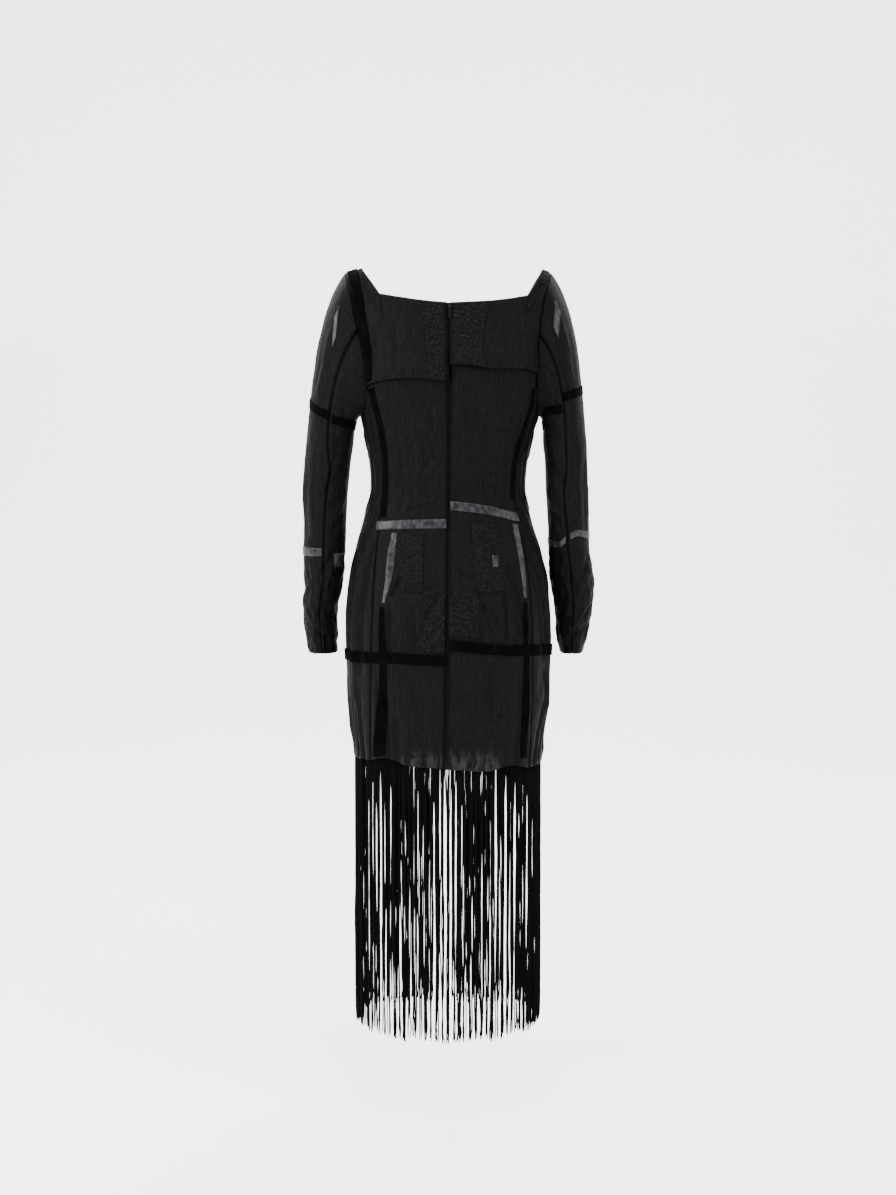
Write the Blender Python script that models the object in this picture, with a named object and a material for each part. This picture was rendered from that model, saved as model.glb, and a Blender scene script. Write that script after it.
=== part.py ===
"""A fitted dress with long sleeves, pieced from crepe, velvet, satin and lace, with a long fringe.

Units are metres and +Z is up. The origin lies midway between the shoulders, level with their tops.
The back of the dress faces -Y, and left and right are the wearer's own, so right is +X.
A place on the body of the dress is an angle round it, from 0 at the centre back through a right
angle at the right side to half a turn at the centre front, and a height. A place on a sleeve is a
turn round it, from 0 at its outer line through a right angle at the back, and a share of the way
down: 0 at the armhole, 1 at the upper arm and 2 at the cuff.
"""

import math

import bmesh
import bpy
from mathutils import Matrix, Vector

# Thicknesses and clearances
WALL = 0.0016
TRIM = 0.0009
SEAM_GAP = 0.0003
LAY_GAP = 0.0005
ARMHOLE_GAP = 0.0006

# Body of the dress: half-widths to each side and depths to the back and front, at each height
SQUARENESS = 2.4
SHOULDER_ROUND = 0.050
TORSO = (
    # height, left, right, back, front
    (-0.050, 0.1700, 0.1700, 0.085, 0.078),
    (-0.100, 0.1700, 0.1700, 0.093, 0.088),
    (-0.150, 0.1620, 0.1620, 0.098, 0.098),
    (-0.195, 0.1490, 0.1520, 0.096, 0.107),
    (-0.232, 0.1395, 0.1445, 0.092, 0.113),
    (-0.253, 0.1350, 0.1380, 0.090, 0.114),
    (-0.301, 0.1260, 0.1275, 0.085, 0.110),
    (-0.349, 0.1244, 0.1244, 0.080, 0.100),
    (-0.397, 0.1360, 0.1340, 0.084, 0.096),
    (-0.445, 0.1490, 0.1490, 0.096, 0.100),
    (-0.494, 0.1570, 0.1590, 0.110, 0.104),
    (-0.542, 0.1610, 0.1625, 0.119, 0.106),
    (-0.591, 0.1610, 0.1640, 0.121, 0.106),
    (-0.640, 0.1600, 0.1630, 0.118, 0.105),
    (-0.690, 0.1585, 0.1630, 0.113, 0.105),
    (-0.740, 0.1555, 0.1560, 0.109, 0.105),
    (-0.790, 0.1520, 0.1520, 0.106, 0.104),
)
SHOULDER_TOP = -SHOULDER_ROUND + SHOULDER_ROUND * math.pi / 2
SHOULDER_SLOPE_FROM = 0.135
SHOULDER_SLOPE = 9.0

# Folds that drop down the skirt and body: a ridge where the height is positive, a hollow where not
FOLD_RADIUS = 0.15
FOLDS = (
    # top angle, top height, bottom angle, bottom height, height of fold, half-width
    (-52, -0.400, -59, -0.640, -0.0042, 0.0085),
    (-63, -0.430, -68, -0.700, 0.0034, 0.0090),
    (-75, -0.420, -76, -0.780, -0.0038, 0.0085),
    (-88, -0.460, -88, -0.760, 0.0030, 0.0100),
    (-61, -0.650, -60, -0.790, -0.0036, 0.0080),
    (-27, -0.680, -28, -0.790, -0.0030, 0.0075),
    (-17, -0.520, -13, -0.600, -0.0022, 0.0070),
    (55, -0.395, 66, -0.620, -0.0040, 0.0085),
    (33, -0.440, 41, -0.580, -0.0026, 0.0070),
    (73, -0.440, 76, -0.720, 0.0034, 0.0095),
    (86, -0.430, 84, -0.780, -0.0036, 0.0090),
    (70, -0.660, 62, -0.790, -0.0034, 0.0080),
    (20, -0.600, 21, -0.680, -0.0020, 0.0065),
    (-103, -0.430, -108, -0.760, -0.0032, 0.0095),
    (104, -0.430, 109, -0.760, -0.0032, 0.0095),
    (-148, -0.470, -152, -0.770, -0.0026, 0.0100),
    (143, -0.480, 148, -0.780, -0.0026, 0.0100),
)

# Seams, as distances from the middle of the dress
CENTRE_BACK = ((-0.050, 0.0024), (-0.300, 0.0016), (-0.450, 0.0000), (-0.600, -0.0024), (-0.790, -0.0060))
PRINCESS = (
    # height, left, right
    (-0.183, 0.1268, 0.1395),
    (-0.213, 0.1200, 0.1360),
    (-0.253, 0.1095, 0.1225),
    (-0.293, 0.1050, 0.1115),
    (-0.341, 0.1040, 0.1062),
    (-0.390, 0.1085, 0.1095),
    (-0.450, 0.1140, 0.1225),
    (-0.520, 0.1180, 0.1300),
    (-0.620, 0.1215, 0.1330),
    (-0.700, 0.1225, 0.1320),
    (-0.790, 0.1235, 0.1290),
)
FRONT_SEAM = (
    # height, left, right
    (-0.183, 0.1268, 0.1395),
    (-0.225, 0.1200, 0.1260),
    (-0.270, 0.1140, 0.1160),
    (-0.330, 0.1020, 0.1030),
    (-0.397, 0.1060, 0.1060),
    (-0.500, 0.1200, 0.1210),
    (-0.600, 0.1230, 0.1240),
    (-0.700, 0.1210, 0.1230),
    (-0.790, 0.1190, 0.1200),
)
ARMHOLE = (
    # share of the way from the shoulder to the underarm, left, right, height
    (0.00, 0.1630, 0.1640, 0.000),
    (0.11, 0.1570, 0.1580, -0.020),
    (0.22, 0.1510, 0.1510, -0.047),
    (0.35, 0.1440, 0.1445, -0.085),
    (0.47, 0.1350, 0.1410, -0.120),
    (0.58, 0.1295, 0.1400, -0.150),
    (0.68, 0.1268, 0.1395, -0.178),
    (0.78, 0.1275, 0.1395, -0.202),
    (0.88, 0.1320, 0.1410, -0.221),
    (0.95, 0.1365, 0.1430, -0.229),
    (1.00, 0.1395, 0.1445, -0.232),
)
SIDE_SHARE = 0.70

# Edges that run round the dress, by degrees from the centre back
YOKE_EDGE = (
    # degrees, left, right
    (0, -0.1770, -0.1510),
    (10, -0.1726, -0.1527),
    (20, -0.1710, -0.1565),
    (40, -0.1756, -0.1565),
    (56, -0.1845, -0.1625),
    (72, -0.1900, -0.1690),
)
WAIST = (
    (0, -0.3970, -0.3690),
    (25, -0.3985, -0.3765),
    (50, -0.4015, -0.3875),
    (90, -0.4020, -0.3930),
    (130, -0.4000, -0.3970),
    (180, -0.3970, -0.3970),
)
HEM = (
    (0, -0.7810, -0.7830),
    (20, -0.7780, -0.7870),
    (36, -0.7680, -0.7790),
    (55, -0.7750, -0.7870),
    (90, -0.7760, -0.7840),
    (180, -0.7830, -0.7830),
)
BACK_NECK = (
    # share from the centre back to the armhole, left, right, left height, right height
    (0.00, 0.0000, 0.0000, -0.0560, -0.0560),
    (0.15, 0.0300, 0.0360, -0.0535, -0.0548),
    (0.30, 0.0580, 0.0660, -0.0500, -0.0530),
    (0.45, 0.0840, 0.0960, -0.0458, -0.0495),
    (0.60, 0.1068, 0.1240, -0.0418, -0.0445),
    (0.72, 0.1220, 0.1380, -0.0200, -0.0240),
    (0.84, 0.1370, 0.1500, 0.0000, 0.0000),
    (1.00, 0.1630, 0.1640, 0.0000, 0.0000),
)
FRONT_NECK = (
    # share from the left armhole to the right one, place across, height
    (0.00, -0.1630, 0.000),
    (0.08, -0.1370, 0.000),
    (0.16, -0.1220, -0.030),
    (0.25, -0.1080, -0.062),
    (0.34, -0.0750, -0.071),
    (0.50, 0.0000, -0.077),
    (0.66, 0.0800, -0.071),
    (0.75, 0.1160, -0.062),
    (0.84, 0.1340, -0.030),
    (0.92, 0.1500, 0.000),
    (1.00, 0.1640, 0.000),
)

# The yoke is a flap: it lies over the top of the bodice and its raw edge stands off
YOKE_TUCK = 0.012
YOKE_LIFT = 0.0052
YOKE_LIFT_AT_ARMHOLE = 0.0032
YOKE_LIFT_OVER = 0.045

# Sleeves: outer and inner lines, and the place and half-depth of each section from back to front
UPPER_ARM = -0.275
CUFF = -0.614
SLEEVE = (
    # height, left outer, left inner, right outer, right inner, centre, half-depth
    (-0.275, 0.2265, 0.1510, 0.2215, 0.1520, 0.000, 0.050),
    (-0.301, 0.2284, 0.1546, 0.2220, 0.1546, -0.002, 0.048),
    (-0.349, 0.2320, 0.1597, 0.2240, 0.1565, -0.003, 0.044),
    (-0.397, 0.2307, 0.1630, 0.2260, 0.1600, 0.000, 0.042),
    (-0.445, 0.2328, 0.1650, 0.2280, 0.1620, 0.006, 0.040),
    (-0.494, 0.2316, 0.1687, 0.2364, 0.1654, 0.013, 0.038),
    (-0.542, 0.2352, 0.1786, 0.2336, 0.1738, 0.020, 0.035),
    (-0.591, 0.2308, 0.1806, 0.2260, 0.1770, 0.027, 0.031),
    (-0.614, 0.2260, 0.1810, 0.2200, 0.1830, 0.030, 0.030),
)
CAP_PULL = 0.8
FRONT_TURN = -120
BACK_TURN = (
    # share down the sleeve, left, right
    (0.00, 72, 76),
    (1.00, 90, 92),
    (1.12, 103, 95),
    (1.22, 98, 104),
    (1.45, 92, 98),
    (2.00, 92, 95),
)
SLEEVE_FOLD_RADIUS = 0.042
SLEEVE_FOLDS = (
    # side, first turn, first height, last turn, last height, height of fold, half-width
    (-1, 150, -0.305, 95, -0.350, -0.0028, 0.0080),
    (-1, 165, -0.340, 120, -0.395, 0.0024, 0.0085),
    (-1, 40, -0.300, 30, -0.430, -0.0020, 0.0085),
    (-1, 140, -0.430, 70, -0.500, -0.0024, 0.0080),
    (-1, 30, -0.560, 120, -0.590, -0.0020, 0.0070),
    (1, 150, -0.300, 100, -0.345, -0.0028, 0.0080),
    (1, 165, -0.335, 125, -0.390, 0.0024, 0.0085),
    (1, 45, -0.290, 35, -0.420, -0.0020, 0.0085),
    (1, 140, -0.440, 75, -0.510, -0.0024, 0.0080),
    (1, 35, -0.565, 120, -0.592, -0.0020, 0.0070),
)

# Ribbons and lace: where each lies and how wide it is
HIP_BAND = (
    # degrees from the centre back, left height, right height
    (0, -0.6080, -0.5835),
    (25, -0.6055, -0.5920),
    (66, -0.6100, -0.5995),
    (90, -0.6125, -0.6030),
    (130, -0.6120, -0.6060),
)
HIP_BAND_HALF = 0.0085
WAIST_BAND_HALF = 0.0070
WAIST_BAND_END = {-1: 0.1100, 1: 0.1035}
WAIST_BAND_HEIGHT = -0.39
BAND_LIMIT = 0.985
BODICE_VELVET_WIDTH = {-1: 0.0100, 1: 0.0070}
BODICE_VELVET_LOW = {-1: -0.3880, 1: -0.3600}
HIP_SATIN = {
    # height, middle, half-width
    -1: (
        (-0.4115, 0.0835, 0.0046),
        (-0.4540, 0.0890, 0.0055),
        (-0.4850, 0.0930, 0.0050),
        (-0.5200, 0.1010, 0.0022),
    ),
    1: (
        (-0.3990, 0.1050, 0.0044),
        (-0.4330, 0.1110, 0.0042),
        (-0.4720, 0.1172, 0.0036),
        (-0.5130, 0.1205, 0.0018),
    ),
}
SKIRT_VELVET = {
    # height, middle, half-width
    -1: (
        (-0.5260, 0.1035, 0.0035),
        (-0.5700, 0.1030, 0.0050),
        (-0.6250, 0.1015, 0.0055),
        (-0.7650, 0.1085, 0.0095),
    ),
    1: (
        (-0.5200, 0.1210, 0.0030),
        (-0.5700, 0.1230, 0.0042),
        (-0.6250, 0.1235, 0.0045),
        (-0.7700, 0.1195, 0.0060),
    ),
}
SLEEVE_VELVET_HALF = 0.0065
SLEEVE_VELVET = {
    # turn, height; the top sleeve first, then the under sleeve
    (-1, "top"): ((-116, -0.2050), (0, -0.2090), (33, -0.2165), (72, -0.2270), (85, -0.2300)),
    (-1, "under"): ((91, -0.2355), (148, -0.2445), (180, -0.2470), (236, -0.2410)),
    (1, "top"): ((-116, -0.1860), (0, -0.1890), (36, -0.1930), (70, -0.1985), (86, -0.2010)),
    (1, "under"): ((92, -0.2180), (144, -0.2260), (180, -0.2470), (236, -0.2320)),
}
SLEEVE_SATIN = {
    # side, part of the sleeve, and rows of turn, height of the middle, half-width
    "sleeve_satin_left": (-1, "top", ((-116, -0.4430, 0.0068), (27, -0.4458, 0.0070), (88, -0.4456, 0.0066))),
    "sleeve_satin_patch_left": (-1, "under", ((122, -0.4590, 0.0110), (158, -0.4610, 0.0110))),
    "sleeve_satin_top_right": (
        1,
        "top",
        ((-116, -0.4230, 0.0048), (30, -0.4196, 0.0050), (70, -0.4150, 0.0050), (90, -0.4200, 0.0050)),
    ),
    "sleeve_satin_under_right": (
        1,
        "under",
        ((102, -0.4255, 0.0050), (121, -0.4340, 0.0048), (150, -0.4330, 0.0048), (236, -0.4280, 0.0048)),
    ),
    "sleeve_head_satin_left": (
        -1,
        "top",
        ((33, -0.0680, 0.0085), (43, -0.0930, 0.0090), (53, -0.1160, 0.0080)),
    ),
    "sleeve_head_satin_right": (
        1,
        "top",
        ((30, -0.0590, 0.0085), (43, -0.0810, 0.0085), (55, -0.1020, 0.0075)),
    ),
}
LACE = {
    # name: nearer edge, farther edge, top, bottom
    "hip_lace_left_upper": (-0.0388, -0.0750, -0.4100, -0.5020),
    "hip_lace_left_lower": (-0.0050, -0.0385, -0.5060, -0.5940),
    "hip_lace_right_upper": (0.0390, 0.0826, -0.3960, -0.5020),
    "hip_lace_right_lower": (0.0020, 0.0482, -0.5100, -0.5700),
}
YOKE_LACE = {-1: (0.030, 0.200), 1: (0.030, 0.285)}
YOKE_LACE_ROWS = (0.012, 0.985)
SATIN_TAB = (0.0690, 0.0785, -0.4460, -0.4640)
ARMHOLE_VELVET_COLUMNS = (0.885, 0.985)
ARMHOLE_VELVET_ROWS = (0.02, 0.80)
BAND_START = 0.012
HIP_BAND_END = 0.97
SEAM_CLEAR = 0.0006
VELVET_BELOW_CORNER = 0.004

# How many ribbons' thickness each trim stands off its panel, so that it clears what it crosses
STRIP_LAYER = 1.3
ARMHOLE_LAYER = 1.6
TAB_LAYER = 2.0
HIP_LAYER = 2.4

# Fringe: a narrow strip inside the hem, and strands from its lower edge
STRIP_THICK = 0.0017
STRIP_HEIGHT = 0.009
STRIP_RISE = 0.0006
STRAND_PITCH = 0.0047
STRAND_WIDTH = 0.0018
STRAND_END = -1.220
STRAND_UNEVEN = 0.006
STRAND_DRIFT = 0.0008
STRAND_FLARE = 0.003
STRAND_STEPS = (
    # share of the length, share of the flare, size of the section
    (0.45, 0.3, 1.0),
    (1.00, 0.7, 0.75),
)

# Zip: the slider closes the centre back at the neckline, and its tab swings on a pin
SLIDER_HEIGHT = -0.0615
SLIDER_WIDTH = 0.0050
SLIDER_LENGTH = 0.0080
SLIDER_DEPTH = 0.0020
BLOCK_BEVEL = 0.2
EAR_THICK = 0.0009
EAR_LENGTH = 0.0026
EAR_PAST_PIN = 0.0010
PIN_RADIUS = 0.0005
PIN_OUT = 0.0042
PIN_DROP = 0.0018
EYE_RADIUS = 0.0016
EYE_BORE = 0.0008
EYE_NARROWER = 0.0004
TAB_WIDTH = 0.0026
TAB_THICK = 0.0010
TAB_LENGTH = 0.0160
TAB_BELOW_PIN = 0.0010
TAB_LEAN = math.radians(9)

# Finishes: colour, roughness, metallic
FINISHES = {
    "crepe": ((0.0140, 0.0140, 0.0150), 0.85, 0.0),
    "velvet": ((0.0016, 0.0016, 0.0019), 1.00, 0.0),
    "satin": ((0.0850, 0.0850, 0.0880), 0.38, 0.0),
    "lace": ((0.0110, 0.0110, 0.0120), 0.90, 0.0),
    "yarn": ((0.0060, 0.0060, 0.0065), 0.80, 0.0),
    "metal": ((0.4500, 0.4500, 0.4400), 0.35, 1.0),
}


def clear_scene():
    for thing in list(bpy.data.objects):
        bpy.data.objects.remove(thing, do_unlink=True)


def finish(name):
    """The material of one finish, made when it is first asked for."""
    material = bpy.data.materials.get(name)
    if material is None:
        colour, roughness, metallic = FINISHES[name]
        material = bpy.data.materials.new(name)
        material.use_nodes = True
        shader = material.node_tree.nodes["Principled BSDF"]
        shader.inputs["Base Color"].default_value = (*colour, 1.0)
        shader.inputs["Roughness"].default_value = roughness
        shader.inputs["Metallic"].default_value = metallic
        material.diffuse_color = (*colour, 1.0)
    return material


def value(rows, at, column=1):
    """One column of a table at a place between its rows, on a smooth curve through them."""
    places = [row[0] for row in rows]
    if places[0] > places[-1]:
        rows = rows[::-1]
        places = places[::-1]
    if at <= places[0]:
        return rows[0][column]
    if at >= places[-1]:
        return rows[-1][column]
    k = max(i for i, place in enumerate(places) if place <= at)

    def slope(i):
        before = max(i - 1, 0)
        after = min(i + 1, len(rows) - 1)
        return (rows[after][column] - rows[before][column]) / (places[after] - places[before])

    span = places[k + 1] - places[k]
    u = (at - places[k]) / span
    start = (2 * u**3 - 3 * u**2 + 1) * rows[k][column] + (u**3 - 2 * u**2 + u) * span * slope(k)
    end = (3 * u**2 - 2 * u**3) * rows[k + 1][column] + (u**3 - u**2) * span * slope(k + 1)
    return start + end


def straight(rows, at, column=1):
    """One column of a table, on straight lines between its rows."""
    for low, high in zip(rows, rows[1:]):
        if at <= high[0]:
            share = (at - low[0]) / (high[0] - low[0])
            return low[column] + share * (high[column] - low[column])
    return rows[-1][column]


def ease(u):
    """0 below 0, 1 above 1 and a smooth step between."""
    u = min(max(u, 0.0), 1.0)
    return u * u * (3 - 2 * u)


def side_column(side):
    return 1 if side < 0 else 2


# Over the shoulder a height runs on round a quarter circle, so that sections never crowd at the top
def height_of(z):
    if z <= -SHOULDER_ROUND:
        return z
    return -SHOULDER_ROUND + SHOULDER_ROUND * math.asin(min((z + SHOULDER_ROUND) / SHOULDER_ROUND, 1))


def rise_of(height):
    """How far round the shoulder a height lies, as an angle: 0 below it."""
    return max((height + SHOULDER_ROUND) / SHOULDER_ROUND, 0.0)


def lean_at(x, height):
    """Angle from the centre back or centre front to the point at x."""
    half = value(TORSO, height, side_column(x))
    return math.asin(min(abs(x) / half, 1.0) ** (SQUARENESS / 2))


def back_angle(x, height):
    return math.copysign(lean_at(x, height), x)


def front_angle(x, height):
    return math.pi - math.copysign(lean_at(x, height), x)


def fold_depth(folds, angle, height, radius):
    """How far the folds move a place out, from its distance to each fold's line."""
    total = 0.0
    for top_angle, top, bottom_angle, bottom, size, half in folds:
        start = Vector((math.radians(top_angle) * radius, top))
        run = Vector((math.radians(bottom_angle) * radius, bottom)) - start
        here = Vector((angle * radius, height)) - start
        share = here.dot(run) / run.length_squared
        across = (here - run * share).length
        ends = ease(share / 0.3) * ease((1 - share) / 0.15 + 0.2)
        total += size * ends * math.exp(-((across / half) ** 2))
    return total


def torso_form(angle, height):
    """The figure under the cloth, without folds."""
    rise = rise_of(height)
    half = value(TORSO, height, 1 if math.sin(angle) < 0 else 2)
    depth = value(TORSO, height, 3 if math.cos(angle) > 0 else 4) * math.cos(min(rise, math.pi / 2))
    power = 2 / SQUARENESS
    x = math.copysign(half * abs(math.sin(angle)) ** power, math.sin(angle))
    y = -math.copysign(depth * abs(math.cos(angle)) ** power, math.cos(angle))
    z = height
    if rise > 0:
        z = -SHOULDER_ROUND + SHOULDER_ROUND * math.sin(rise)
        slope = max(abs(x) - SHOULDER_SLOPE_FROM, 0.0)
        z -= SHOULDER_SLOPE * slope**2 * math.sin(rise)
    return Vector((x, y, z))


def torso_point(angle, height, out):
    """A point on the dress, a distance out from its outer face."""
    step = 1e-4
    round_it = torso_form(angle + step, height) - torso_form(angle - step, height)
    up_it = torso_form(angle, height) - torso_form(angle, height - step)
    normal = round_it.cross(up_it).normalized()
    turn = math.remainder(angle, 2 * math.pi)
    out += fold_depth(FOLDS, turn, height, FOLD_RADIUS)
    return torso_form(angle, height) + normal * out


def cloth(name, look, point, columns, rows, thick=WALL, out=0.0):
    """A sheet with its own thickness: a grid of shares, set in place by point(s, t, out).

    columns and rows are lists of shares from 0 to 1.
    """
    mesh = bmesh.new()
    bmesh.ops.create_grid(mesh, x_segments=len(columns) - 1, y_segments=len(rows) - 1, size=0.5)
    share_s = mesh.verts.layers.float.new("s")
    share_t = mesh.verts.layers.float.new("t")
    for vertex in mesh.verts:
        vertex[share_s] = columns[round((vertex.co.x + 0.5) * (len(columns) - 1))]
        vertex[share_t] = rows[round((vertex.co.y + 0.5) * (len(rows) - 1))]
        vertex.co = point(vertex[share_s], vertex[share_t], out)
    moved = bmesh.ops.extrude_face_region(mesh, geom=mesh.faces[:], use_keep_orig=True)
    for vertex in moved["geom"]:
        if isinstance(vertex, bmesh.types.BMVert):
            vertex.co = point(vertex[share_s], vertex[share_t], out - thick)
    bmesh.ops.recalc_face_normals(mesh, faces=mesh.faces[:])
    if mesh.calc_volume(signed=True) < 0:
        bmesh.ops.reverse_faces(mesh, faces=mesh.faces[:])
    return add(name, look, mesh)


def add(name, look, mesh):
    """An object of the dress from a bmesh, with its finish."""
    data = bpy.data.meshes.new(name)
    mesh.to_mesh(data)
    mesh.free()
    data.materials.append(finish(look))
    piece = bpy.data.objects.new(name, data)
    bpy.data.collections["fringe_dress"].objects.link(piece)
    data.shade_smooth()
    data.set_sharp_from_angle(angle=math.radians(50))
    return piece


def even(count):
    return [i / count for i in range(count + 1)]


def lines_between(lines, low, high):
    """The ends of a range, with those grid lines of a panel that fall well inside it."""
    margin = (high - low) * 0.06
    return [low] + [line for line in lines if low + margin < line < high - margin] + [high]


def shares_of(lines):
    return [(line - lines[0]) / (lines[-1] - lines[0]) for line in lines]


class Panel:
    """A sewn panel: its places, its points and the grid that its flat faces follow."""

    def __init__(self, name, place, point, columns, rows):
        self.place, self.point, self.columns, self.rows = place, point, columns, rows
        cloth(name, "crepe", point, columns, rows)

    def spot(self, first, second):
        """The shares across and up the panel at a place on it."""
        s, t, step = 0.5, 0.5, 1e-4
        for _ in range(25):
            here = self.place(s, t)
            across = (self.place(s + step, t)[0] - here[0]) / step
            up = (self.place(s, t + step)[1] - here[1]) / step
            s += (first - here[0]) / across
            t += (second - here[1]) / up
            s, t = min(max(s, -0.05), 1.05), min(max(t, -0.05), 1.05)
        return s, t

    def facet(self, s, t, out):
        """A point on the panel's flat faces, moved out as its corners are."""
        i = min(max(sum(line <= s for line in self.columns) - 1, 0), len(self.columns) - 2)
        j = min(max(sum(line <= t for line in self.rows) - 1, 0), len(self.rows) - 2)
        u = (s - self.columns[i]) / (self.columns[i + 1] - self.columns[i])
        v = (t - self.rows[j]) / (self.rows[j + 1] - self.rows[j])
        corners = [
            self.point(self.columns[i + a], self.rows[j + b], out)
            for a, b in ((0, 0), (1, 0), (0, 1), (1, 1))
        ]
        low = corners[0].lerp(corners[1], u)
        high = corners[2].lerp(corners[3], u)
        return low.lerp(high, v)


def meeting(x_at, angle_of, height_at):
    """The height at which an upright seam meets an edge that runs round the dress."""
    height = height_at(0.0)
    for _ in range(8):
        height = height_at(angle_of(x_at(height), height))
    return height


def upright(x_at, angle_of, low, high):
    """An upright edge of a panel between two heights: its place a share of the way up."""

    def place(share):
        height = low + share * (high - low)
        return Vector((angle_of(x_at(height), height), height))

    return place


def level(start, end, height_at):
    """An edge that runs round the dress between two angles."""

    def place(share):
        angle = start + share * (end - start)
        return Vector((angle, height_at(angle)))

    return place


def patch(near, far, low, high):
    """Places all over a panel, from its four edges."""

    def place(s, t):
        across = low(s) * (1 - t) + high(s) * t
        up = near(t) * (1 - s) + far(t) * s
        corners = (low(0) * (1 - t) + high(0) * t) * (1 - s) + (low(1) * (1 - t) + high(1) * t) * s
        return across + up - corners

    return place


def between_levels(near_x, far_x, low_at, high_at, angle_of=None):
    """Places on a panel with two upright seams and two edges that run round the dress."""
    angle_of = angle_of or back_angle
    near, far = [
        upright(x_at, angle_of, meeting(x_at, angle_of, low_at), meeting(x_at, angle_of, high_at))
        for x_at in (near_x, far_x)
    ]
    return patch(near, far, level(near(0)[0], far(0)[0], low_at), level(near(1)[0], far(1)[0], high_at))


def on_torso(place, lift=None):
    """The points of a panel from its places, with what lifts it off the figure."""

    def point(s, t, out):
        angle, height = place(s, t)
        return torso_point(angle, height, out + (lift(s, t) if lift else 0.0))

    return point


def edge_at(rows, side, raise_by=0.0):
    """An edge round one half of the dress: its height at an angle."""

    def height_at(angle):
        return value(rows, abs(math.degrees(angle)), side_column(side)) + raise_by

    return height_at


def armhole_x(height, side):
    """How far out the armhole lies, above its lower corner."""
    rows = [(height_of(row[3]), row[1], row[2]) for row in ARMHOLE if row[0] <= SIDE_SHARE + 0.1]
    return value(rows, height, side_column(side))


def armhole_place(side, share):
    """A place on the armhole: 0 at the shoulder, 1 at the underarm, 2 at the shoulder in front."""
    rows = [(row[0], row[1], row[2], height_of(row[3])) for row in ARMHOLE]
    within = share if share <= 1 else 2 - share
    height = value(rows, within, 3)
    lean = lean_at(side * value(rows, within, side_column(side)), height)
    return Vector((side * (lean if share <= 1 else math.pi - lean), height))


def centre_back(height):
    return value(CENTRE_BACK, height)


def centre_edge(side):
    return lambda height: centre_back(height) + side * SEAM_GAP / 2


def princess_edge(side, gap_side):
    """The princess seam, and above it the armhole, as one line; gap_side is 1 on its outer side."""
    corner = armhole_place(side, SIDE_SHARE)[1]

    def x_at(height):
        if height > corner:
            return side * (armhole_x(height, side) - ARMHOLE_GAP / 2)
        return side * (value(PRINCESS, height, side_column(side)) + gap_side * SEAM_GAP / 2)

    return x_at


def front_edge(side, gap_side):
    corner = armhole_place(side, SIDE_SHARE)[1]

    def x_at(height):
        if height > corner:
            return side * (armhole_x(height, side) - ARMHOLE_GAP / 2)
        return side * (value(FRONT_SEAM, height, side_column(side)) + gap_side * SEAM_GAP / 2)

    return x_at


def yoke_lift(side, place):
    """The raw edge of the yoke stands off the bodice, less where the armhole seam holds it."""
    edge = edge_at(YOKE_EDGE, side)

    def lift(s, t):
        angle, height = place(s, t)
        size = YOKE_LIFT + (YOKE_LIFT_AT_ARMHOLE - YOKE_LIFT) * ease((s - 0.6) / 0.35)
        return size * (1 - ease((height - edge(angle)) / YOKE_LIFT_OVER))

    return lift


def yoke_place(side):
    near_x = centre_edge(side)

    def far_x(height):
        return side * (armhole_x(height, side) - ARMHOLE_GAP / 2)

    edge = edge_at(YOKE_EDGE, side)
    top = SHOULDER_TOP - SEAM_GAP / 2
    column = side_column(side)

    def neck(share):
        height = min(height_of(straight(BACK_NECK, share, column + 2)), top)
        x = side * straight(BACK_NECK, share, column)
        x = near_x(height) if share == 0 else x
        return Vector((back_angle(x, height), height))

    low_near = meeting(near_x, back_angle, edge)
    low_far = meeting(far_x, back_angle, edge)
    near = upright(near_x, back_angle, low_near, neck(0)[1])
    far = upright(far_x, back_angle, low_far, top)
    return patch(near, far, level(near(0)[0], far(0)[0], edge), neck)


def back_bodice_place(side):
    near_x = centre_edge(side)
    far_x = princess_edge(side, -1)
    low_at = edge_at(WAIST, side, SEAM_GAP / 2)
    high_at = edge_at(YOKE_EDGE, side, YOKE_TUCK)
    return between_levels(near_x, far_x, low_at, high_at)


def back_skirt_place(side):
    near_x = centre_edge(side)
    far_x = princess_edge(side, -1)
    low_at = edge_at(HEM, side)
    high_at = edge_at(WAIST, side, -SEAM_GAP / 2)
    return between_levels(near_x, far_x, low_at, high_at)


def side_panel_place(side):
    """From the princess seam round under the arm to the front seam, in one length to the hem."""
    near_x = princess_edge(side, 1)
    far_x = front_edge(side, 1)

    def far_angle(x, height):
        return side * (math.pi - lean_at(x, height))

    low_at = edge_at(HEM, side)
    drop = Vector((0.0, -ARMHOLE_GAP / 2))

    def top(share):
        return armhole_place(side, SIDE_SHARE + share * 2 * (1 - SIDE_SHARE)) + drop

    near = upright(near_x, back_angle, meeting(near_x, back_angle, low_at), top(0)[1])
    far = upright(far_x, far_angle, meeting(far_x, far_angle, low_at), top(1)[1])
    return patch(near, far, level(near(0)[0], far(0)[0], low_at), top)


def around_front(rows, raise_by=0.0):
    """An edge across the front: its height at an angle from the left side through the front."""

    def height_at(angle):
        side = 1 if angle < math.pi else -1
        return edge_at(rows, side, raise_by)(math.remainder(angle, 2 * math.pi))

    return height_at


def front_bodice_place():
    left_x = front_edge(-1, -1)
    right_x = front_edge(1, -1)
    low_at = around_front(WAIST, SEAM_GAP / 2)
    top = SHOULDER_TOP - SEAM_GAP / 2

    def neck(share):
        height = min(height_of(straight(FRONT_NECK, share, 2)), top)
        return Vector((front_angle(straight(FRONT_NECK, share), height), height))

    left = upright(left_x, front_angle, meeting(left_x, front_angle, low_at), top)
    right = upright(right_x, front_angle, meeting(right_x, front_angle, low_at), top)
    return patch(left, right, level(left(0)[0], right(0)[0], low_at), neck)


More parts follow.
